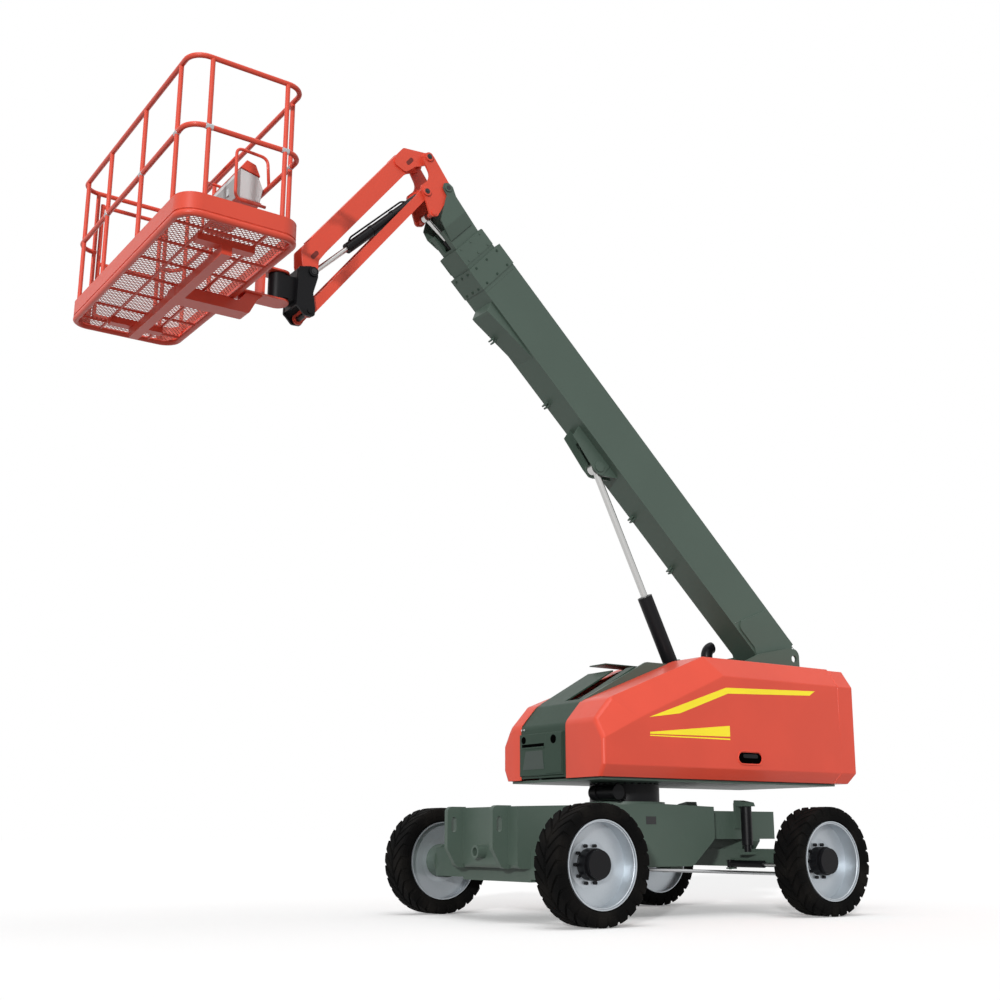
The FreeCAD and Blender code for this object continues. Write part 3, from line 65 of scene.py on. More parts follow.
class Wire:
    """One socket of a shader tree, with arithmetic that adds math nodes."""

    def __init__(self, tree, socket):
        self.tree = tree
        self.socket = socket

    def apply(self, operation, *values):
        node = self.tree.nodes.new("ShaderNodeMath")
        node.operation = operation
        for slot, value in zip(node.inputs, (self, *values)):
            plug(self.tree, slot, value)
        return Wire(self.tree, node.outputs[0])

    def __add__(self, other):
        return self.apply("ADD", other)

    __radd__ = __add__

    def __rsub__(self, other):
        return (self * -1.0) + other

    def __mul__(self, other):
        return self.apply("MULTIPLY", other)

    __rmul__ = __mul__

    def smooth(self, low, high):
        """0 under low, 1 over high, and an even blend between."""
        node = self.tree.nodes.new("ShaderNodeMapRange")
        node.interpolation_type = "SMOOTHSTEP"
        for name, value in (("Value", self), ("From Min", low), ("From Max", high)):
            plug(self.tree, node.inputs[name], value)
        return Wire(self.tree, node.outputs["Result"])


def plug(tree, slot, value):
    """Links a wire to an input, or sets the input to a plain value."""
    if isinstance(value, Wire):
        tree.links.new(value.socket, slot)
    else:
        slot.default_value = value


class Recipe:
    """A material under construction: its tree, its shader and the textures it asks for."""

    def __init__(self, name):
        self.material = bpy.data.materials.new(name)
        self.material.use_nodes = True
        self.tree = self.material.node_tree
        self.shader = self.tree.nodes["Principled BSDF"]
        self.here = self.add("ShaderNodeTexCoord", out="Object")

    def add(self, kind, out=0, **inputs):
        node = self.tree.nodes.new(kind)
        for name, value in inputs.items():
            plug(self.tree, node.inputs[name.replace("_", " ")], value)
        return Wire(self.tree, node.outputs[out])

    def noise(self, scale, detail=3.0):
        return self.add("ShaderNodeTexNoise", Vector=self.here, Scale=scale, Detail=detail)

    def cells(self, scale):
        return self.add("ShaderNodeTexVoronoi", Vector=self.here, Scale=scale)

    def axis(self, letter):
        return self.add("ShaderNodeSeparateXYZ", out=letter, Vector=self.here)

    def mix(self, share, first, second):
        node = self.tree.nodes.new("ShaderNodeMix")
        node.data_type = "RGBA"
        plug(self.tree, node.inputs[0], share)
        plug(self.tree, node.inputs[6], first if isinstance(first, Wire) else (*first, 1.0))
        plug(self.tree, node.inputs[7], second if isinstance(second, Wire) else (*second, 1.0))
        return Wire(self.tree, node.outputs[2])

    def set(self, **inputs):
        for name, value in inputs.items():
            plug(self.tree, self.shader.inputs[name.replace("_", " ")], value)
        return self

    def bump(self, height, distance, strength=1.0):
        node = self.tree.nodes.new("ShaderNodeBump")
        node.inputs["Strength"].default_value = strength
        node.inputs["Distance"].default_value = distance
        plug(self.tree, node.inputs["Height"], height)
        self.tree.links.new(node.outputs["Normal"], self.shader.inputs["Normal"])
        return self


# %% [markdown]
# ## Materials
#
# Painted steel has a faint orange peel, slightly uneven gloss and road dust that thins with
# height. Rubber is matt with a fine grain. Chrome and bare metal have fine marks.

# %%


def paint(name, colour, roughness=0.42, coat=0.06, dust=0.0, peel=0.00022, shine=0.3):
    """Sprayed enamel: a small drift of colour, orange peel and dust on its lower parts."""
    r = Recipe(name)
    drift = r.noise(1.7, 4.0)
    darker = tuple(c * 0.97 for c in colour)
    lighter = tuple(min(1.0, c * 1.02) for c in colour)
    tone = r.mix(drift.smooth(0.35, 0.65), darker, lighter)
    if dust:
        low = 1.0 - r.axis("Z").smooth(0.25, 1.0)
        speck = (r.noise(9.0, 8.0) * 1.3) * low * dust
        tone = r.mix(speck, tone, (0.20, 0.185, 0.16))
    r.set(Base_Color=tone, Roughness=r.noise(23.0, 4.0) * 0.12 + (roughness - 0.06))
    r.shader.inputs["Specular IOR Level"].default_value = shine
    r.shader.inputs["Coat Weight"].default_value = coat
    r.shader.inputs["Coat Roughness"].default_value = 0.12
    r.bump(r.noise(260.0, 1.5), peel, 0.5)
    return r.material


def rubber():
    r = Recipe("tyre_rubber")
    grain = r.noise(180.0, 6.0)
    tone = r.mix(r.noise(4.0, 6.0).smooth(0.4, 0.75), (0.003, 0.003, 0.003), (0.010, 0.009, 0.008))
    r.set(Base_Color=tone, Roughness=grain * 0.15 + 0.75)
    r.shader.inputs["Specular IOR Level"].default_value = 0.05
    r.bump(grain, 0.0005, 0.6)
    return r.material


def metal(name, colour, roughness, marks=0.5, metallic=1.0):
    """Bare or plated metal with fine marks that break up its reflections."""
    r = Recipe(name)
    marks_field = r.noise(90.0, 8.0)
    tone = r.mix(marks_field, tuple(c * 0.88 for c in colour), colour)
    r.set(Base_Color=tone, Roughness=marks_field * 0.18 * marks + roughness)
    r.shader.inputs["Metallic"].default_value = metallic
    r.bump(r.noise(340.0, 3.0), 0.00008, 0.4)
    return r.material


def plastic(name, colour, roughness=0.45):
    r = Recipe(name)
    grain = r.cells(420.0)
    tone = r.mix(r.noise(6.0), tuple(c * 0.92 for c in colour), colour)
    r.set(Base_Color=tone, Roughness=r.noise(14.0) * 0.12 + roughness)
    r.bump(grain, 0.0002, 0.4)
    return r.material


RED = (0.69, 0.074, 0.040)
GREEN = (0.066, 0.098, 0.078)
M = {
    "red": paint("red_enamel", RED, 0.40, 0.10),
    "green": paint("green_enamel", GREEN, 0.46, 0.03, dust=0.06),
    # A darker copy of the green enamel, painted as the shade on the front and rear covers
    "painted_shade_green": paint("painted_shade_green_enamel", (0.034, 0.058, 0.043), 0.46, 0.02, shine=0.12),
    "black": paint("black_enamel", (0.005, 0.005, 0.006), 0.42, 0.02, shine=0.15),
    "rim": metal("silver_rim", (0.50, 0.54, 0.575), 0.36, metallic=0.75),
    "yellow": paint("yellow_vinyl", (0.98, 0.80, 0.02), 0.30, 0.2),
    "white": paint("white_enamel", (0.72, 0.73, 0.73), 0.34, 0.2),
    "tyre": rubber(),
    "chrome": metal("chrome_rod", (0.55, 0.55, 0.54), 0.24),
    "steel": metal("zinc_steel", (0.60, 0.61, 0.62), 0.28),
    "cast": metal("cast_aluminium", (0.46, 0.47, 0.48), 0.42),
    "case": plastic("grey_moulding", (0.62, 0.63, 0.63), 0.42),
    "dark": plastic("black_moulding", (0.014, 0.014, 0.015), 0.48),
    # Flat black painted as the shade inside the latch dishes and the cover's slit
    "painted_shade": paint("painted_shade_black", (0.0015, 0.0015, 0.0015), 0.9, 0.0, shine=0.0),
    # Dark red painted as the shade inside the jib arm's slots
    "painted_shade_red": paint("painted_shade_red_enamel", (0.16, 0.022, 0.016), 0.5, 0.0),
    "case_face": plastic("speckled_casting", (0.40, 0.40, 0.40), 0.5),
    "deck": paint("deck_enamel", (0.60, 0.16, 0.12), 0.45, 0.1),
    "grey_panel": paint("grey_enamel", (0.062, 0.078, 0.070), 0.5, 0.0, shine=0.15),
}

NODE_LOOKS = {
    "tyre": "tyre", "rim": "rim", "hub": "black", "chassis_frame": "green", "front_axle": "green",
    "steer_axle": "green", "axle_lock_cylinders": "black", "swing_bearing": "black",
    "steering_knuckle": "green", "tie_rod": "steel", "steering_cylinder_barrel": "black",
    "steering_cylinder_rod": "chrome", "turntable_frame": "green", "counterweight": "red",
    # The covers take the darker green, which paints their shade
    "front_cover": "painted_shade_green", "rear_cover": "painted_shade_green", "exhaust_pipe": "black",
    "engine_block": "cast", "hood": "red", "base_boom": "green", "lift_cylinder_bracket": "green",
    "mid_boom": "green", "fly_boom": "green", "lift_cylinder_rod": "chrome",
    "lift_cylinder_barrel": "black", "level_cylinder_barrel": "black",
    "level_cylinder_rod": "chrome", "jib_knuckle": "red", "jib_upper_arm": "red",
    "jib_lower_link": "red", "jib_cylinder_barrel": "black", "jib_cylinder_rod": "chrome",
    "jib_head": "black", "rotary_actuator": "black", "platform": "red", "guard_rails": "red",
    "entry_gate": "red", "control_console": "white", "upright": "green",
}


def look_for(node):
    """The material of the longest listed name that the node's own name starts with."""
    fits = [key for key in NODE_LOOKS if node.startswith(key)]
    return M[NODE_LOOKS[max(fits, key=len)]]


for name, thing in nodes.items():
    thing.data.materials.clear()
    thing.data.materials.append(look_for(name))

# %% [markdown]
# ## Places
#
# The machine's own origin is on the ground midway between the axles, so it comes from the boxes
# of two hubs. Along the boom, a place is a length from its pivot and a height over its underside.

# %%


def middle_x(node):
    low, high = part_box(node)
    return (low[0] + high[0]) / 2


ORIGIN_X = (middle_x("hub_front_left") + middle_x("hub_rear_left")) / 2
BOOM_ANGLE = math.radians(43.35)
BOOM_PIVOT = (-1.720, 2.140)


def at(x, y, z):
    return Vector((x + ORIGIN_X, y, z))


def on_boom(along, y, up):
    x = BOOM_PIVOT[0] + along * math.cos(BOOM_ANGLE) - up * math.sin(BOOM_ANGLE)
    z = BOOM_PIVOT[1] + along * math.sin(BOOM_ANGLE) + up * math.cos(BOOM_ANGLE)
    return at(x, y, z)


# %% [markdown]
# ## Small forms in mesh code
#
# Each form is added to a `bmesh`, and `finish_piece` turns that into an object with its look and
# its body. Edges sharper than the limit stay crisp and the others are smooth.

# %%
SHARP = math.radians(32)
CREASED = math.radians(4)


def finish_piece(name, form, look, body, round_off=0.0, wall=0.0, sharp=SHARP):
    weighted = "bevel_weight_edge" in form.edges.layers.float
    for edge in form.edges:
        edge.smooth = not edge.is_manifold or edge.calc_face_angle(0) < sharp
    for face in form.faces:
        face.smooth = True
    mesh = bpy.data.meshes.new(name)
    form.to_mesh(mesh)
    form.free()
    piece = bpy.data.objects.new(name, mesh)
    bpy.context.collection.objects.link(piece)
    mesh.materials.append(M[look])
    if round_off:
        soften = piece.modifiers.new("edges", "BEVEL")
        soften.width = round_off
        soften.segments = 4 if weighted else 3
        soften.limit_method = "WEIGHT" if weighted else "ANGLE"
        soften.angle_limit = math.radians(7)
        soften.harden_normals = True
    if wall:
        sheet = piece.modifiers.new("wall", "SOLIDIFY")
        sheet.thickness = wall
        sheet.offset = -1.0
    if wall and round_off:
        flat = piece.modifiers.new("flat_faces", "WEIGHTED_NORMAL")
        flat.keep_sharp = True
    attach(piece, body)
    return piece


def add_slab(form, corners, push):
    """A flat outline pushed out along a vector."""
    low = [form.verts.new(corner) for corner in corners]
    high = [form.verts.new(corner + push) for corner in corners]
    count = len(corners)
    faces = [form.faces.new(low), form.faces.new(high)]
    for i in range(count):
        j = (i + 1) % count
        faces.append(form.faces.new((low[i], low[j], high[j], high[i])))
    bmesh.ops.recalc_face_normals(form, faces=faces)


def add_rod(form, start, end, radius, sides=20, end_radius=None):
    """A round or many-sided bar, or a cone, between two points."""
    start, end = Vector(start), Vector(end)
    turn = (end - start).to_track_quat("Z", "Y").to_matrix().to_4x4()
    place = Matrix.Translation((start + end) / 2) @ turn
    bmesh.ops.create_cone(form, cap_ends=True, segments=sides, radius1=radius,
                          radius2=radius if end_radius is None else end_radius,
                          depth=(end - start).length, matrix=place)


def oval(x, z, half_x, half_z, y, steps=10):
    """The corners of an upright racetrack outline."""
    corners = []
    for side in (1, -1):
        for i in range(steps + 1):
            angle = math.radians(-90 * side + 180 * i / steps)
            centre = x + side * (half_x - half_z)
            corners.append(at(centre + half_z * math.cos(angle), y, z + half_z * math.sin(angle)))
    return corners


def rounded_path(points, radius, steps=7):
    """A path whose corners are turned by arcs of about the given radius."""
    points = [Vector(p) for p in points]
    path = [points[0]]
    for before, corner, after in zip(points, points[1:], points[2:]):
        first = corner + (before - corner).normalized() * radius
        last = corner + (after - corner).normalized() * radius
        for i in range(steps + 1):
            share = i / steps
            path.append(first.lerp(corner, share).lerp(corner.lerp(last, share), share))
    path.append(points[-1])
    return path


def add_tube(form, path, radius, sides=14):
    """A tube swept along a path, with its ring of points carried on without a twist."""
    ahead = (path[1] - path[0]).normalized()
    across = ahead.orthogonal().normalized()
    rings = []
    for i, point in enumerate(path):
        before = path[max(i - 1, 0)]
        after = path[min(i + 1, len(path) - 1)]
        ahead = (after - before).normalized()
        across = (across - ahead * across.dot(ahead)).normalized()
        beside = ahead.cross(across)
        rings.append([form.verts.new(point + (across * math.cos(a) + beside * math.sin(a)) * radius)
                      for a in (2 * math.pi * k / sides for k in range(sides))])
    for low, high in zip(rings, rings[1:]):
        for k in range(sides):
            j = (k + 1) % sides
            form.faces.new((low[k], low[j], high[j], high[k]))
    form.faces.new(list(reversed(rings[0])))
    form.faces.new(rings[-1])


# %% [markdown]
# ## Tyres
#
# One rule gives a tyre: rows run across it and columns follow the slanted edges of its lugs, so a
# point lies on a lug or in a groove by its column alone.

# %%
TYRE_HALF = 0.1415
LUGS = 26
SLANT = 2.6
# (share of the half width on a lug, radius on a lug, the same two in a groove)
TYRE_ROWS = (
    (0.72, 0.322, 0.72, 0.322), (0.90, 0.334, 0.90, 0.334), (0.95, 0.352, 0.95, 0.352),
    (0.965, 0.368, 0.965, 0.368), (0.990, 0.374, 0.960, 0.375), (1.0, 0.402, 0.950, 0.400),
    (0.985, 0.426, 0.925, 0.412), (0.91, 0.440, 0.870, 0.424), (0.60, 0.442, 0.600, 0.428),
    (0.30, 0.442, 0.300, 0.428), (0.09, 0.442, 0.090, 0.428), (0.05, 0.4290, 0.050, 0.4275),
)
# (share of a lug's pitch, whether the point is on the lug)
LUG_COLUMNS = ((0.0, False), (0.04, True), (0.25, True), (0.50, True), (0.76, True),
               (0.80, False), (0.90, False))
# How many columns the second half's rows lag by, where the two halves meet half a lug apart
HALF_LUG_COLUMNS = 4
FULL_SLANT = 0.125
RIM_STEP_SIDES = 48
# (radius, distance out from the wheel's middle) at the step's inner and outer edge
RIM_STEP = ((0.300, 0.112), (0.311, 0.118))


def tyre_form(centre):
    """A tyre about its wheel's middle, its lugs slanted and the two halves half a lug apart."""
    form = bmesh.new()
    rows = [(1, row) for row in TYRE_ROWS] + [(-1, row) for row in reversed(TYRE_ROWS)]
    rings = []
    for side, (lug_share, lug_radius, groove_share, groove_radius) in rows:
        ring = []
        for lug in range(LUGS):
            for share, raised in LUG_COLUMNS:
                width = (lug_share if raised else groove_share) * TYRE_HALF
                radius = lug_radius if raised else groove_radius
                turn = (lug + share + (0.5 if side < 0 else 0)) / LUGS * 2 * math.pi
                turn += min(width, FULL_SLANT) * SLANT
                ring.append(form.verts.new(centre + Vector(
                    (radius * math.cos(turn), side * width, radius * math.sin(turn)))))
        rings.append(ring)
    count = len(rings[0])
    for index, (low, high) in enumerate(zip(rings, rings[1:])):
        shift = HALF_LUG_COLUMNS if index == len(TYRE_ROWS) - 1 else 0
        for k in range(count):
            j = (k + 1) % count
            form.faces.new((low[k], low[j], high[(j - shift) % count], high[(k - shift) % count]))
    for k in range(count):
        j = (k + 1) % count
        form.faces.new((rings[-1][k], rings[-1][j], rings[0][j], rings[0][k]))
    bmesh.ops.recalc_face_normals(form, faces=form.faces)
    return form


def add_wheels():
    for place in ("front_left", "front_right", "rear_left", "rear_right"):
        low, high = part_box(f"tyre_{place}")
        centre = (Vector(low) + Vector(high)) / 2
        body = f"wheel_{place}"
        tyre = finish_piece(f"lugged_tyre_{place}", tyre_form(centre), "tyre", body, 0.0015)
        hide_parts(f"tyre_{place}")
        side = 1 if place.endswith("left") else -1
        dressing = bmesh.new()
        inner, outer = RIM_STEP
        for i in range(RIM_STEP_SIDES):
            a = 2 * math.pi * i / RIM_STEP_SIDES
            b = 2 * math.pi * (i + 1) / RIM_STEP_SIDES
            corners = []
            for turn, (radius, out) in ((a, inner), (b, inner), (b, outer), (a, outer)):
                corners.append(centre + Vector(
                    (radius * math.cos(turn), side * out, radius * math.sin(turn))))
            dressing.faces.new([dressing.verts.new(c) for c in corners])
        bmesh.ops.remove_doubles(dressing, verts=dressing.verts, dist=1e-5)
        bmesh.ops.recalc_face_normals(dressing, faces=dressing.faces)
        finish_piece(f"rim_step_{place}", dressing, "rim", body, wall=0.004)


# %% [markdown]
# ## Hoods and counterweight
#
# A hood is one bent sheet. Its roof outline lies a bevel's width further in than its side face,
# and the two are joined all round, so the crease along the side runs where the bevel ends.

# %%
OUTER = 0.694
BEVEL = 0.110
BASE = 1.105
SILL = 1.198
SILL_LEAN = 0.047
REAR_LEAN = 0.085
ROOF = ((0.788, 1.56), (0.621, 1.745), (-0.431, 2.155), (-2.012, 2.155), (-2.012, 1.22))
CREASE = ((0.788, 1.400), (0.397, 1.581), (-0.566, 1.984), (-2.012, 1.984), (-2.012, 1.22))
SILL_REAR = -1.996
HOOD_FRONT = 0.788
FRONT_CORNERS = 0.60
HOOD_INNER = {1: 0.202, -1: 0.432}
HOOD_REAR = -2.012
WEIGHT_FRONT, WEIGHT_REAR = -2.017, -2.212
WELL_HALF = 0.19


def hood_form(side):
    """One hood's sheet, its edges weighted so that only the front corners get the full round."""
    form = bmesh.new()

    def point(x, y, z):
        return form.verts.new(at(x, side * y, z))

    inner = HOOD_INNER[side]
    rear = HOOD_REAR + REAR_LEAN
    roof = [point(x, OUTER - BEVEL, z) for x, z in ROOF]
    inside = [point(x, inner, z) for x, z in ROOF]
    crease = [point(x, OUTER, z) for x, z in CREASE]
    roof_low = [point(HOOD_FRONT, OUTER - BEVEL, BASE), point(rear, OUTER - BEVEL, BASE)]
    inside_low = [point(HOOD_FRONT, inner, BASE), point(rear, inner, BASE)]
    side_low = [point(HOOD_FRONT, OUTER - SILL_LEAN, BASE), point(rear, OUTER - SILL_LEAN, BASE)]
    sill = [point(HOOD_FRONT, OUTER, SILL), point(SILL_REAR, OUTER, SILL)]
    for i in range(len(ROOF) - 1):
        form.faces.new((inside[i], inside[i + 1], roof[i + 1], roof[i]))
        form.faces.new((roof[i], roof[i + 1], crease[i + 1], crease[i]))
    form.faces.new((inside_low[0], inside[0], roof[0], roof_low[0]))
    form.faces.new((roof_low[0], roof[0], crease[0], sill[0], side_low[0]))
    form.faces.new((inside[-1], inside_low[1], roof_low[1], roof[-1]))
    form.faces.new((roof[-1], roof_low[1], side_low[1], sill[1], crease[-1]))
    face = form.faces.new((sill[0], *crease, sill[1]))
    form.faces.new((side_low[0], sill[0], sill[1], side_low[1]))
    bmesh.ops.recalc_face_normals(form, faces=form.faces)
    if face.normal.y * side < 0:
        bmesh.ops.reverse_faces(form, faces=form.faces)
    round_share = form.edges.layers.float.new("bevel_weight_edge")
    for edge in form.edges:
        ahead = min(vert.co.x for vert in edge.verts) - ORIGIN_X > FRONT_CORNERS
        edge[round_share] = 1.0 if ahead else 0.22
    return form


def counterweight_form():
    """The rear casting, with the hoods' bevel carried on, a well for the boom's tail and a foot."""
    form = bmesh.new()
    half = [(0.226, 1.900), (0.226, 2.144), (OUTER - BEVEL, 2.144), (OUTER, 1.984),
            (OUTER, SILL), (OUTER - SILL_LEAN, BASE)]
    ring = half + [(-y, z) for y, z in reversed(half)]
    ends = []
    for x in (WEIGHT_FRONT, WEIGHT_REAR):
        ends.append([form.verts.new(at(x + REAR_LEAN * max(0.0, (1.22 - z) / 0.115), y, z))
                     for y, z in ring])
    count = len(ring)
    for i in range(count):
        j = (i + 1) % count
        form.faces.new((ends[0][i], ends[0][j], ends[1][j], ends[1][i]))
    form.faces.new(ends[0])
    form.faces.new(list(reversed(ends[1])))
    bmesh.ops.recalc_face_normals(form, faces=form.faces)
    add_slab(form, [at(x, -WELL_HALF, z) for x, z in (
        (WEIGHT_FRONT, BASE), (-1.790, BASE), (-1.790, 1.88), (WEIGHT_FRONT, 1.88))],
        Vector((0, 2 * WELL_HALF, 0)))
    return form


def add_stripes(side, body):
    """The yellow bands on a hood's side: a kinked one under the crease and a low wedge."""
    out = side * (OUTER + 0.0004)
    bands = (
        ((0.298, 1.590), (-0.584, 1.884), (-1.702, 1.922), (-1.631, 1.878), (-0.606, 1.835),
         (-0.041, 1.637)),
        ((0.294, 1.454), (0.294, 1.470), (-0.61, 1.560), (-0.61, 1.468)),
        ((0.294, 1.438), (0.294, 1.446), (-0.61, 1.452), (-0.61, 1.440)),
    )
    form = bmesh.new()
    for band in bands:
        add_slab(form, [at(x, out, z) for x, z in band], Vector((0, side * 0.0006, 0)))
    finish_piece(f"stripes_{body}", form, "yellow", body)


def add_handle(side, body):
    """The hood's latch: an oval dish of painted shade behind a raised lip, with a bar across it."""
    x, z = -0.840, 1.295
    dish = bmesh.new()
    # The dish is a flat sheet painted black as the shade inside the latch
    add_slab(dish, oval(x, z, 0.135, 0.046, side * (OUTER + 0.0002)), Vector((0, side * 0.0008, 0)))
    finish_piece(f"handle_dish_shade_{body}", dish, "painted_shade", body)
    lip = bmesh.new()
    ring = oval(x, z, 0.145, 0.056, side * (OUTER + 0.001))
    ring.append(ring[0])
    ring.append(ring[1])
    add_tube(lip, ring, 0.006, 8)
    finish_piece(f"handle_lip_{body}", lip, "red", body)
    bar = bmesh.new()
    add_slab(bar, oval(x, z + 0.016, 0.088, 0.017, side * (OUTER + 0.001)),
             Vector((0, side * 0.006, 0)))
    finish_piece(f"handle_bar_{body}", bar, "black", body, 0.002)


def add_body_panels():
    for side, word in ((1, "left"), (-1, "right")):
        body = f"hood_{word}"
        shell = finish_piece(f"bevelled_hood_{word}", hood_form(side), "red", body,
                             0.036, 0.012)
        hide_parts(f"hood_{word}")
        add_stripes(side, body)
        add_handle(side, body)
    weight = finish_piece("bevelled_counterweight", counterweight_form(), "red", "turntable",
                          0.007, sharp=CREASED)
    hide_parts("counterweight")


# %% [markdown]
# ## Front cover
#
# A framed panel, a slit painted black as its shade with a lighter lip, a sunk window and two plain
# discs in that black.

# %%


def add_cover():
    front = HOOD_FRONT + 0.0142
    frame_piece = bmesh.new()
    window = bmesh.new()
    dark = bmesh.new()
    push = Vector((0.006, 0, 0))
    add_slab(frame_piece, [at(front, y, z) for y, z in (
        (-0.05, 1.150), (0.165, 1.150), (0.165, 1.478), (-0.05, 1.478))], push)
    add_slab(frame_piece, [at(front, y, z) for y, z in (
        (-0.395, 1.362), (-0.075, 1.362), (-0.075, 1.376), (-0.395, 1.376))], push)
    # The slit is a flat sheet painted black as the shade inside it; the two discs share that black
    add_slab(dark, [at(front, y, z) for y, z in (
        (-0.395, 1.379), (-0.080, 1.379), (-0.080, 1.404), (-0.395, 1.404))], push * 0.3)
    add_slab(window, [at(front, y, z) for y, z in (
        (-0.385, 1.190), (-0.080, 1.190), (-0.100, 1.345), (-0.340, 1.345))], push * 0.4)
    add_rod(dark, at(front + 0.005, 0.060, 1.430), at(front + 0.009, 0.060, 1.430), 0.036, 32)
    add_rod(dark, at(front, -0.370, 1.440), at(front + 0.003, -0.370, 1.440), 0.030, 32)
    # The frame takes the darker green that paints the cover's shade
    finish_piece("cover_frame", frame_piece, "painted_shade_green", "turntable", 0.004)
    finish_piece("cover_window", window, "grey_panel", "turntable", 0.002)
    finish_piece("cover_vent_shade_and_discs", dark, "painted_shade", "turntable")
    bolts = bmesh.new()
    for y in (-0.405, -0.370):
        add_rod(bolts, at(front - 0.012, y, 1.528), at(front - 0.003, y, 1.528), 0.009, 6)
    finish_piece("cover_bolts", bolts, "steel", "turntable")


# %% [markdown]
# ## Boom dressing
#
# Collars carry rows of bolts, a wedge tray and paired hose clips hang under the base section,
# and low raised seams stand for the welds.

# %%
BASE_HALF = 0.142
MID_HALF = 0.122


def add_boom_dressing():
    bolts = bmesh.new()
    for along in (4.560, 4.715):
        for up in (0.070, 0.226, 0.382):
            for side in (1, -1):
                foot = side * (BASE_HALF + 0.006)
                add_rod(bolts, on_boom(along, foot, up), on_boom(along, foot + side * 0.006, up),
                        0.011, 6)
        for y in (-0.09, 0.0, 0.09):
            add_rod(bolts, on_boom(along, y, -0.006), on_boom(along, y, -0.012), 0.011, 6)
    finish_piece("collar_bolts", bolts, "painted_shade_green", "boom_base")
    mid = bmesh.new()
    half = MID_HALF + 0.004
    low, high = 0.018, 0.414
    for y in (-half, half - 0.004):
        add_slab(mid, [on_boom(4.782, y, low), on_boom(4.942, y, low), on_boom(4.942, y, high),
                       on_boom(4.782, y, high)], Vector((0, 0.004, 0)))
    for along in (4.805, 4.920):
        for up in (0.075, 0.216, 0.357):
            for side in (1, -1):
                add_rod(mid, on_boom(along, side * half, up),
                        on_boom(along, side * (half + 0.005), up), 0.010, 6)
    finish_piece("mid_collar", mid, "green", "boom_mid")
    tray = bmesh.new()
    add_slab(tray, [on_boom(along, -0.120, up) for along, up in (
        (3.79, 0.0), (4.41, 0.0), (4.372, -0.092), (4.348, -0.092))], Vector((0, 0.240, 0)))
    for along, drop in ((4.112, 0.045), (3.347, 0.0), (2.000, 0.0), (1.370, 0.0)):
        for step in (-0.021, 0.007):
            add_slab(tray, [on_boom(along + step, y, -drop + z) for y, z in (
                (-0.118, 0.0), (-0.078, 0.0), (-0.078, -0.058), (-0.118, -0.058))],
                on_boom(0.014, 0, 0) - on_boom(0, 0, 0))
    finish_piece("boom_tray_and_clips", tray, "green", "boom_base", 0.002)
    bracket = bmesh.new()
    for side in (1, -1):
        wall = side * 0.0632
        add_slab(bracket, [on_boom(along, wall, up) for along, up in (
            (2.558, 0.0), (2.558, -0.130), (2.600, -0.160), (2.690, -0.160), (3.020, -0.118),
            (3.038, 0.0))], Vector((0, side * 0.008, 0)))
        add_rod(bracket, on_boom(2.636, side * 0.070, -0.097),
                on_boom(2.636, side * 0.082, -0.097), 0.050, 32)
    finish_piece("lift_bracket_cheeks", bracket, "green", "boom_base", 0.003)
    seams = bmesh.new()
    for side in (1, -1):
        for path in (((0.62, 0.03), (0.43, 0.422), (-0.08, 0.422)),
                     ((0.30, 0.12), (0.47, 0.12), (0.47, 0.27), (0.30, 0.27))):
            points = rounded_path([on_boom(a, side * (BASE_HALF + 0.0005), u) for a, u in path],
                                  0.05)
            add_tube(seams, points, 0.003, 8)
    add_tube(seams, [on_boom(4.50, BASE_HALF, 0.0), on_boom(4.50, BASE_HALF, 0.452)], 0.002, 8)
    finish_piece("boom_seams", seams, "green", "boom_base")


# %% [markdown]
# ## Work platform
#
# The deck is expanded metal. Its strands are edges of a diamond net, and Geometry Nodes sweep a
# square profile along every one of them.

# %%
DECK_PITCH = 0.034
STRAND = 0.0036
DECK_EDGE = 0.012
MIDDLE_RAIL = 5.320
RAIL_INSET = 0.019


def sweep_nodes():
    """A Geometry Nodes group that turns a net of edges into bars."""
    group = bpy.data.node_groups.new("strands", "GeometryNodeTree")
    group.interface.new_socket("Geometry", in_out="INPUT", socket_type="NodeSocketGeometry")
    group.interface.new_socket("Geometry", in_out="OUTPUT", socket_type="NodeSocketGeometry")
    entry = group.nodes.new("NodeGroupInput")
    leave = group.nodes.new("NodeGroupOutput")
    line = group.nodes.new("GeometryNodeMeshToCurve")
    profile = group.nodes.new("GeometryNodeCurvePrimitiveCircle")
    profile.inputs["Resolution"].default_value = 4
    profile.inputs["Radius"].default_value = STRAND
    sweep = group.nodes.new("GeometryNodeCurveToMesh")
    look = group.nodes.new("GeometryNodeSetMaterial")
    look.inputs["Material"].default_value = M["deck"]
    for source, target in ((entry.outputs[0], line.inputs[0]), (line.outputs[0], sweep.inputs[0]),
                           (profile.outputs[0], sweep.inputs[1]),
                           (sweep.outputs[0], look.inputs[0]), (look.outputs[0], leave.inputs[0])):
        group.links.new(source, target)
    return group


def add_deck():
    low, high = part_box("platform_deck")
    x0, x1 = low[0] + DECK_EDGE, high[0] - DECK_EDGE
    y0, y1 = low[1] + DECK_EDGE, high[1] - DECK_EDGE
    level = (low[2] + high[2]) / 2
    form = bmesh.new()
    across = round((x1 - x0) / DECK_PITCH)
    along = round((y1 - y0) / (DECK_PITCH * 0.62))
    grid = {}
    for i in range(across * 2 + 1):
        for j in range(along + 1):
            if (i + j) % 2 == 0:
                grid[i, j] = form.verts.new((x0 + (x1 - x0) * i / (across * 2),
                                             y0 + (y1 - y0) * j / along, level))
    for (i, j), vert in grid.items():
        for step in (-1, 1):
            other = grid.get((i + step, j + 1))
            if other:
                form.edges.new((vert, other))
    mesh = bpy.data.meshes.new("expanded_deck")
    form.to_mesh(mesh)
    form.free()
    deck = bpy.data.objects.new("expanded_deck", mesh)
    bpy.context.collection.objects.link(deck)
    mesh.materials.append(M["deck"])
    deck.modifiers.new("strands", "NODES").node_group = sweep_nodes()
    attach(deck, "platform")
    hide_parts("platform_deck")


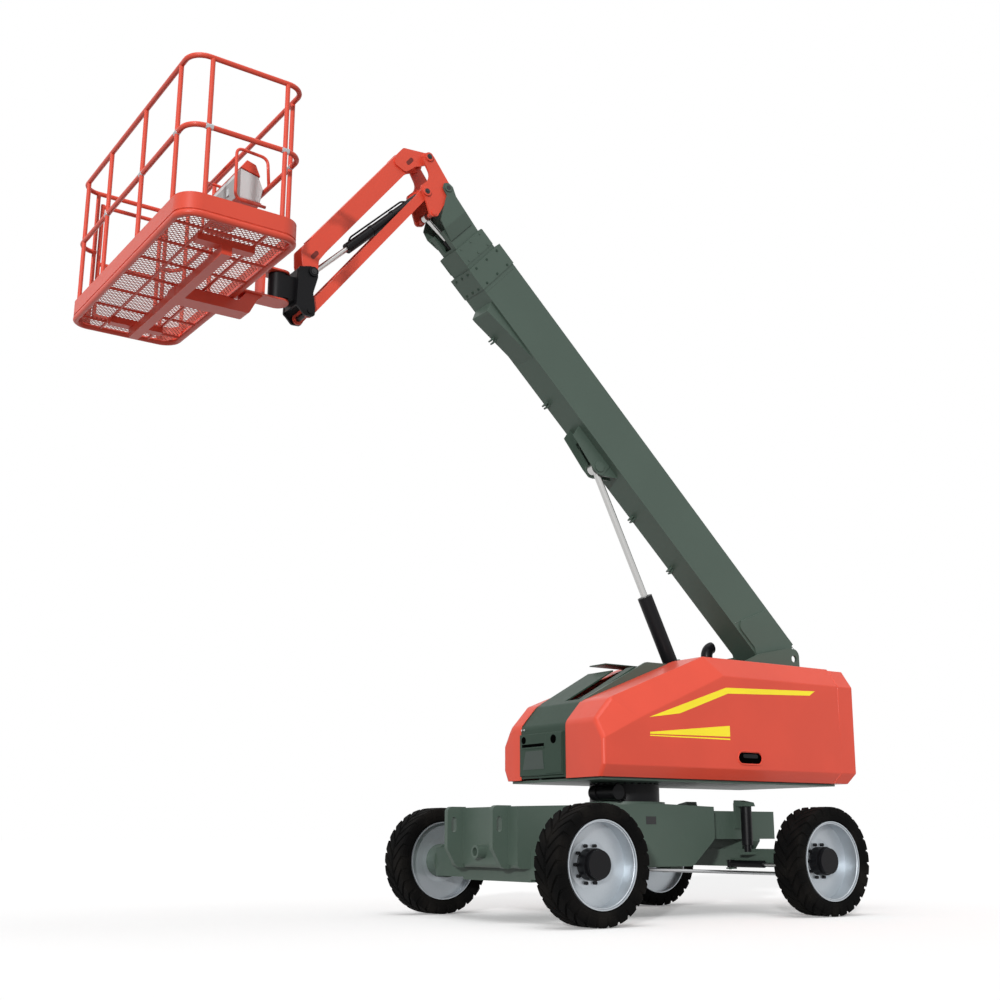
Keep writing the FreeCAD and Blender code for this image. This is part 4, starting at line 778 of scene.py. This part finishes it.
def add_console():
    low, high = (Vector(v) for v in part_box("control_console"))
    case = bmesh.new()
    x0, x1 = low.x + 0.018, high.x
    y0, y1 = low.y, high.y
    outline = ((x0, 5.300), (x0 + 0.022, 5.182), (x1 - 0.022, 5.182), (x1, 5.352),
               (x1 - 0.030, 5.425), (x0 + 0.040, 5.392))
    add_slab(case, [Vector((x, y0, z)) for x, z in outline], Vector((0, y1 - y0, 0)))
    box = finish_piece("console_case", case, "case", "platform", 0.010)
    face = bmesh.new()
    add_slab(face, [Vector((x, y, z)) for x, y, z in (
        (x1 - 0.019, y0 + 0.02, 5.196), (x1 - 0.019, y1 - 0.02, 5.196),
        (x1 + 0.001, y1 - 0.02, 5.345), (x1 + 0.001, y0 + 0.02, 5.345))],
        Vector((0.002, 0, 0)))
    finish_piece("console_face", face, "case_face", "platform", 0.002)
    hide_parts("control_console")
    hood = bmesh.new()
    add_slab(hood, [Vector((x, y0 - 0.006, z)) for x, z in (
        (x0 + 0.030, 5.393), (x1 - 0.028, 5.427), (x1 - 0.075, 5.500), (x0 + 0.070, 5.480))],
        Vector((0, y1 - y0 + 0.012, 0)))
    add_slab(hood, [Vector((x, y0 - 0.004, z)) for x, z in (
        (x0 + 0.010, 5.176), (x1 - 0.010, 5.176), (x1 - 0.010, 5.184), (x0 + 0.010, 5.184))],
        Vector((0, y1 - y0 + 0.008, 0)))
    finish_piece("console_lid_and_tray", hood, "red", "platform", 0.006)
    small = bmesh.new()
    for share in (0.28, 0.72):
        y = y0 + (y1 - y0) * share
        add_slab(small, [Vector((x1 - 0.012, y + s, z)) for s, z in (
            (-0.018, 5.250), (0.018, 5.250), (0.018, 5.310), (-0.018, 5.310))],
            Vector((0.014, 0, 0)))
    finish_piece("console_latches", small, "steel", "platform", 0.002)
    tubes = bmesh.new()
    for y in (y0 - 0.030, y1 + 0.030):
        hoop = rounded_path([(x0 - 0.028, y, 5.322), (x0 - 0.010, y, 5.545), (x1 + 0.020, y, 5.560),
                             (x1 + 0.012, y, 5.150), (x0 - 0.010, y, 5.145)], 0.055)
        add_tube(tubes, hoop, 0.012, 12)
    add_tube(tubes, [Vector((x1 + 0.016, y0 - 0.030, 5.490)),
                     Vector((x1 + 0.016, y1 + 0.030, 5.490))], 0.012, 12)
    finish_piece("console_guard", tubes, "red", "platform")


def ring_path(half_x, half_y, z, turn, steps=8):
    """A rounded rectangle round the platform's middle."""
    low, high = (Vector(v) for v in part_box("platform_deck"))
    middle = (low + high) / 2
    path = []
    for quarter, (sx, sy) in enumerate(((1, 1), (-1, 1), (-1, -1), (1, -1))):
        for i in range(steps + 1):
            angle = math.pi / 2 * (quarter + i / steps)
            path.append(Vector((middle.x + sx * (half_x - turn) + turn * math.cos(angle),
                                middle.y + sy * (half_y - turn) + turn * math.sin(angle), z)))
    return path


def add_toe_foot():
    """The folded foot that closes the toe boards down to the floor's outer tube."""
    form = bmesh.new()
    rings = [[form.verts.new(p) for p in ring_path(0.444, 1.214, z, 0.15)]
             for z in (4.662, 4.690)]
    count = len(rings[0])
    for k in range(count):
        j = (k + 1) % count
        form.faces.new((rings[0][k], rings[0][j], rings[1][j], rings[1][k]))
    finish_piece("toe_board_foot", form, "red", "platform", wall=0.004)


def add_clamps():
    """Two-part clamps with a wing bolt where posts cross the middle rail."""
    low, high = (Vector(v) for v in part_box("guard_rails"))
    form = bmesh.new()
    near = high.y - RAIL_INSET
    front, rear = high.x - RAIL_INSET, low.x + RAIL_INSET
    middle = (low.x + high.x) / 2
    for share in (-0.68, 0.65):
        x = middle + share * 0.426
        add_rod(form, (x - 0.028, near, MIDDLE_RAIL), (x + 0.028, near, MIDDLE_RAIL), 0.0215, 18)
        add_rod(form, (x, near - 0.010, MIDDLE_RAIL - 0.020),
                (x, near - 0.010, MIDDLE_RAIL - 0.042), 0.006, 6)
    for share in (0.83, 0.25, -0.39):
        y = share * 1.196
        add_rod(form, (front, y - 0.028, MIDDLE_RAIL), (front, y + 0.028, MIDDLE_RAIL), 0.0205, 18)
        if share != 0.25:
            add_rod(form, (rear, y - 0.028, MIDDLE_RAIL), (rear, y + 0.028, MIDDLE_RAIL), 0.0205,
                    18)
    finish_piece("rail_clamps", form, "cast", "platform", 0.002)


def add_platform():
    add_deck()
    add_console()
    add_toe_foot()
    add_clamps()


# %% [markdown]
# ## Boom nose and jib
#
# The nose carries two bent ears outside the knuckle, and the jib's cylinder a hard line.

# %%
EAR_OUT = 0.139
EAR_BEND = ((5.03, 0.104), (5.15, EAR_OUT))
EAR_LOW, EAR_HIGH = 0.06, 0.36
EAR_NOSE = ((5.15, 0.06), (5.23, 0.08), (5.36, 0.30), (5.43, 0.316), (5.452, 0.358),
            (5.43, 0.40), (5.38, 0.41), (5.30, 0.375), (5.15, 0.36))
NOSE_PIN = (5.399, 0.358)
JIB_CYLINDER_AHEAD = Vector((0.713882, 0, -0.700266))
SLOT_FROM_PIN, SLOT_RISE = 0.155, 0.085
SLOT_RADIUS, SLOT_REACH = 0.019, 0.026


def add_nose_ears():
    ear, ring, dark = bmesh.new(), bmesh.new(), bmesh.new()
    for side in (1, -1):
        push = Vector((0, side * 0.010, 0))
        (start, near), (end, far) = EAR_BEND
        add_slab(ear, [on_boom(start, side * near, EAR_LOW), on_boom(end, side * far, EAR_LOW),
                       on_boom(end, side * far, EAR_HIGH), on_boom(start, side * near, EAR_HIGH)],
                 push)
        add_slab(ear, [on_boom(a, side * far, u) for a, u in EAR_NOSE], push)
        along, up = NOSE_PIN
        foot = side * (EAR_OUT + 0.010)
        add_rod(ring, on_boom(along, foot, up), on_boom(along, foot + side * 0.010, up), 0.036, 28)
        add_rod(dark, on_boom(along, foot, up), on_boom(along, foot + side * 0.012, up), 0.020, 20)
    finish_piece("nose_ears", ear, "green", "boom_fly")
    finish_piece("nose_pin_rings", ring, "green", "boom_fly", 0.002)
    finish_piece("nose_pin_ends", dark, "dark", "boom_fly")


def add_jib_details():
    """The jib cylinder's hard line with its two bands, and the arm's slots as dark red painted
    shade.
    """
    foot = joint_place("jib_cylinder_foot")
    ahead = JIB_CYLINDER_AHEAD
    up = Vector((-ahead.z, 0, ahead.x))
    line = bmesh.new()
    path = [foot + ahead * a + up * u for a, u in ((0.16, 0.040), (0.20, 0.060), (0.86, 0.060),
                                                   (0.90, 0.040))]
    add_tube(line, rounded_path(path, 0.018), 0.008, 10)
    for along in (0.34, 0.62):
        add_rod(line, foot + ahead * along, foot + ahead * (along + 0.03), 0.048, 24)
    finish_piece("jib_cylinder_line", line, "black", "jib_barrel", 0.001)
    # The slots are not cut: flat dark red sheets paint the shade inside them
    slots = bmesh.new()
    start, end = joint_place("jib_luff"), joint_place("jib_head_pin")
    run = (end - start).normalized()
    rise = Vector((-run.z, 0, run.x))
    low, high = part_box("jib_upper_arm")
    for distance in (SLOT_FROM_PIN, (end - start).length - SLOT_FROM_PIN):
        for side in (1, -1):
            y = (high[1] if side == 1 else low[1]) + side * 0.0003
            corners = []
            for i in range(24):
                turn = 2 * math.pi * i / 24
                reach = SLOT_REACH if math.cos(turn) >= 0 else -SLOT_REACH
                corners.append(Vector((start.x, y, start.z)) + run * (
                    distance + reach + SLOT_RADIUS * math.cos(turn)) + rise * (
                    SLOT_RADIUS * math.sin(turn) + SLOT_RISE))
            add_slab(slots, corners, Vector((0, side * 0.0006, 0)))
    finish_piece("jib_arm_slot_shade", slots, "painted_shade_red", "jib_arm")


# %% [markdown]
# ## Jib pins
#
# Every pin of the jib shows a welded collar with a dark end, found from the record's joints.

# %%
PIN_OUT = 0.128
PIN_ENDS = (("jib_luff", "knuckle", "red"), ("jib_link_pin", "knuckle", "red"),
            ("jib_head_pin", "jib_head", "black"))


def joint_place(name):
    for joint in frame["joints"]:
        if joint["name"] == name:
            return Vector(joint["pos_m"])
    raise KeyError(name)


def add_pins():
    for name, body, look in PIN_ENDS:
        centre = joint_place(name)
        collar, end = bmesh.new(), bmesh.new()
        for side in (1, -1):
            foot = centre + Vector((0, side * PIN_OUT, 0))
            add_rod(collar, foot, foot + Vector((0, side * 0.014, 0)), 0.040, 28)
            add_rod(end, foot, foot + Vector((0, side * 0.018, 0)), 0.024, 20)
            add_rod(end, foot, foot + Vector((0, side * 0.023, 0)), 0.012, 6)
        finish_piece(f"{name}_collars", collar, look, body, 0.002)
        finish_piece(f"{name}_ends", end, "dark", body, 0.001)


# %% [markdown]
# ## Chassis dressing
#
# Bolts round the slewing ring and a blank plate on the side.

# %%
SLEWING_BOLTS = 28
SLEWING_RADIUS = 0.288


def add_chassis_dressing():
    plate = bmesh.new()
    add_slab(plate, [at(x, 0.4704, z) for x, z in (
        (0.060, 0.738), (0.170, 0.738), (0.170, 0.802), (0.060, 0.802))], Vector((0, 0.001, 0)))
    finish_piece("blank_plate", plate, "dark", "chassis")
    bolts = bmesh.new()
    for i in range(SLEWING_BOLTS):
        turn = 2 * math.pi * i / SLEWING_BOLTS
        x, y = SLEWING_RADIUS * math.cos(turn), SLEWING_RADIUS * math.sin(turn)
        add_rod(bolts, at(x, y, 1.070), at(x, y, 1.081), 0.011, 6)
    finish_piece("slewing_bolts", bolts, "black", "turntable")


add_wheels()
add_body_panels()
add_cover()
add_boom_dressing()
add_platform()
add_pins()
add_nose_ears()
add_jib_details()
add_chassis_dressing()

# %% [markdown]
# ## Camera, floor and light
#
# The camera stands low by the machine's front left corner. The floor and the world are white to
# the camera by their own colour. A low lamp from the front left lights the sides that the camera
# sees, and a large soft one overhead fills the rest.

# %%
CAMERA_PLACE = (7.400, 8.799, 0.642)
CAMERA_YAW = 235.3
CAMERA_PITCH = 14.59
CAMERA_LENS = 46.52


def add_camera():
    data = bpy.data.cameras.new("camera")
    data.lens = CAMERA_LENS
    data.sensor_width = 36.0
    data.clip_end = 200.0
    camera = bpy.data.objects.new("camera", data)
    bpy.context.collection.objects.link(camera)
    camera.location = at(*CAMERA_PLACE)
    yaw = math.radians(CAMERA_YAW)
    pitch = math.radians(CAMERA_PITCH)
    ahead = Vector((math.cos(yaw) * math.cos(pitch), math.sin(yaw) * math.cos(pitch),
                    math.sin(pitch)))
    camera.rotation_euler = ahead.to_track_quat("-Z", "Y").to_euler()
    bpy.context.scene.camera = camera


def seen_rays(tree):
    """1 where a camera, mirror or glass ray arrives, and 0 for the rays that carry light."""
    path = tree.nodes.new("ShaderNodeLightPath")
    seen = Wire(tree, path.outputs["Is Camera Ray"])
    for name in ("Is Glossy Ray", "Is Transmission Ray"):
        seen = seen.apply("MAXIMUM", Wire(tree, path.outputs[name]))
    return seen


FLOOR_GLOW = 0.19


def add_floor():
    """A matt floor with a little white of its own to the camera, which keeps its shadows."""
    bpy.ops.mesh.primitive_plane_add(size=400.0, location=(0, 0, 0))
    floor = bpy.context.object
    floor.name = "floor"
    r = Recipe("floor_white")
    pale = r.mix(r.noise(3.0, 5.0), (0.94, 0.94, 0.94), (0.96, 0.96, 0.96))
    r.set(Base_Color=r.mix(seen_rays(r.tree), (0.34, 0.34, 0.34), pale))
    r.shader.inputs["Roughness"].default_value = 0.9
    r.shader.inputs["Specular IOR Level"].default_value = 0.0
    r.shader.inputs["Emission Color"].default_value = (1.0, 1.0, 1.0, 1.0)
    plug(r.tree, r.shader.inputs["Emission Strength"], seen_rays(r.tree) * FLOOR_GLOW)
    floor.data.materials.append(r.material)


SKY_LIGHT = 0.46


def add_world():
    world = bpy.data.worlds.new("studio")
    world.use_nodes = True
    bpy.context.scene.world = world
    tree = world.node_tree
    tree.nodes.clear()
    soft = tree.nodes.new("ShaderNodeBackground")
    soft.inputs["Color"].default_value = (1.0, 1.0, 1.0, 1.0)
    plug(tree, soft.inputs["Strength"], seen_rays(tree) * (1 - SKY_LIGHT) + SKY_LIGHT)
    out = tree.nodes.new("ShaderNodeOutputWorld")
    tree.links.new(soft.outputs[0], out.inputs["Surface"])


def add_sun(name, azimuth, elevation, softness, power):
    """A lamp at no distance, so that it lights the floor evenly out to the horizon."""
    data = bpy.data.lights.new(name, "SUN")
    data.energy = power
    data.angle = math.radians(softness)
    lamp = bpy.data.objects.new(name, data)
    bpy.context.collection.objects.link(lamp)
    around, up = math.radians(azimuth), math.radians(elevation)
    source = Vector((math.cos(around) * math.cos(up), math.sin(around) * math.cos(up),
                     math.sin(up)))
    lamp.rotation_euler = (-source).to_track_quat("-Z", "Y").to_euler()


add_camera()
add_floor()
add_world()
add_sun("low_front", 44.0, 11.0, 3.0, 2.3)
add_sun("overhead", 60.0, 74.0, 40.0, 0.9)
scene = bpy.context.scene
scene.view_settings.view_transform = "Standard"
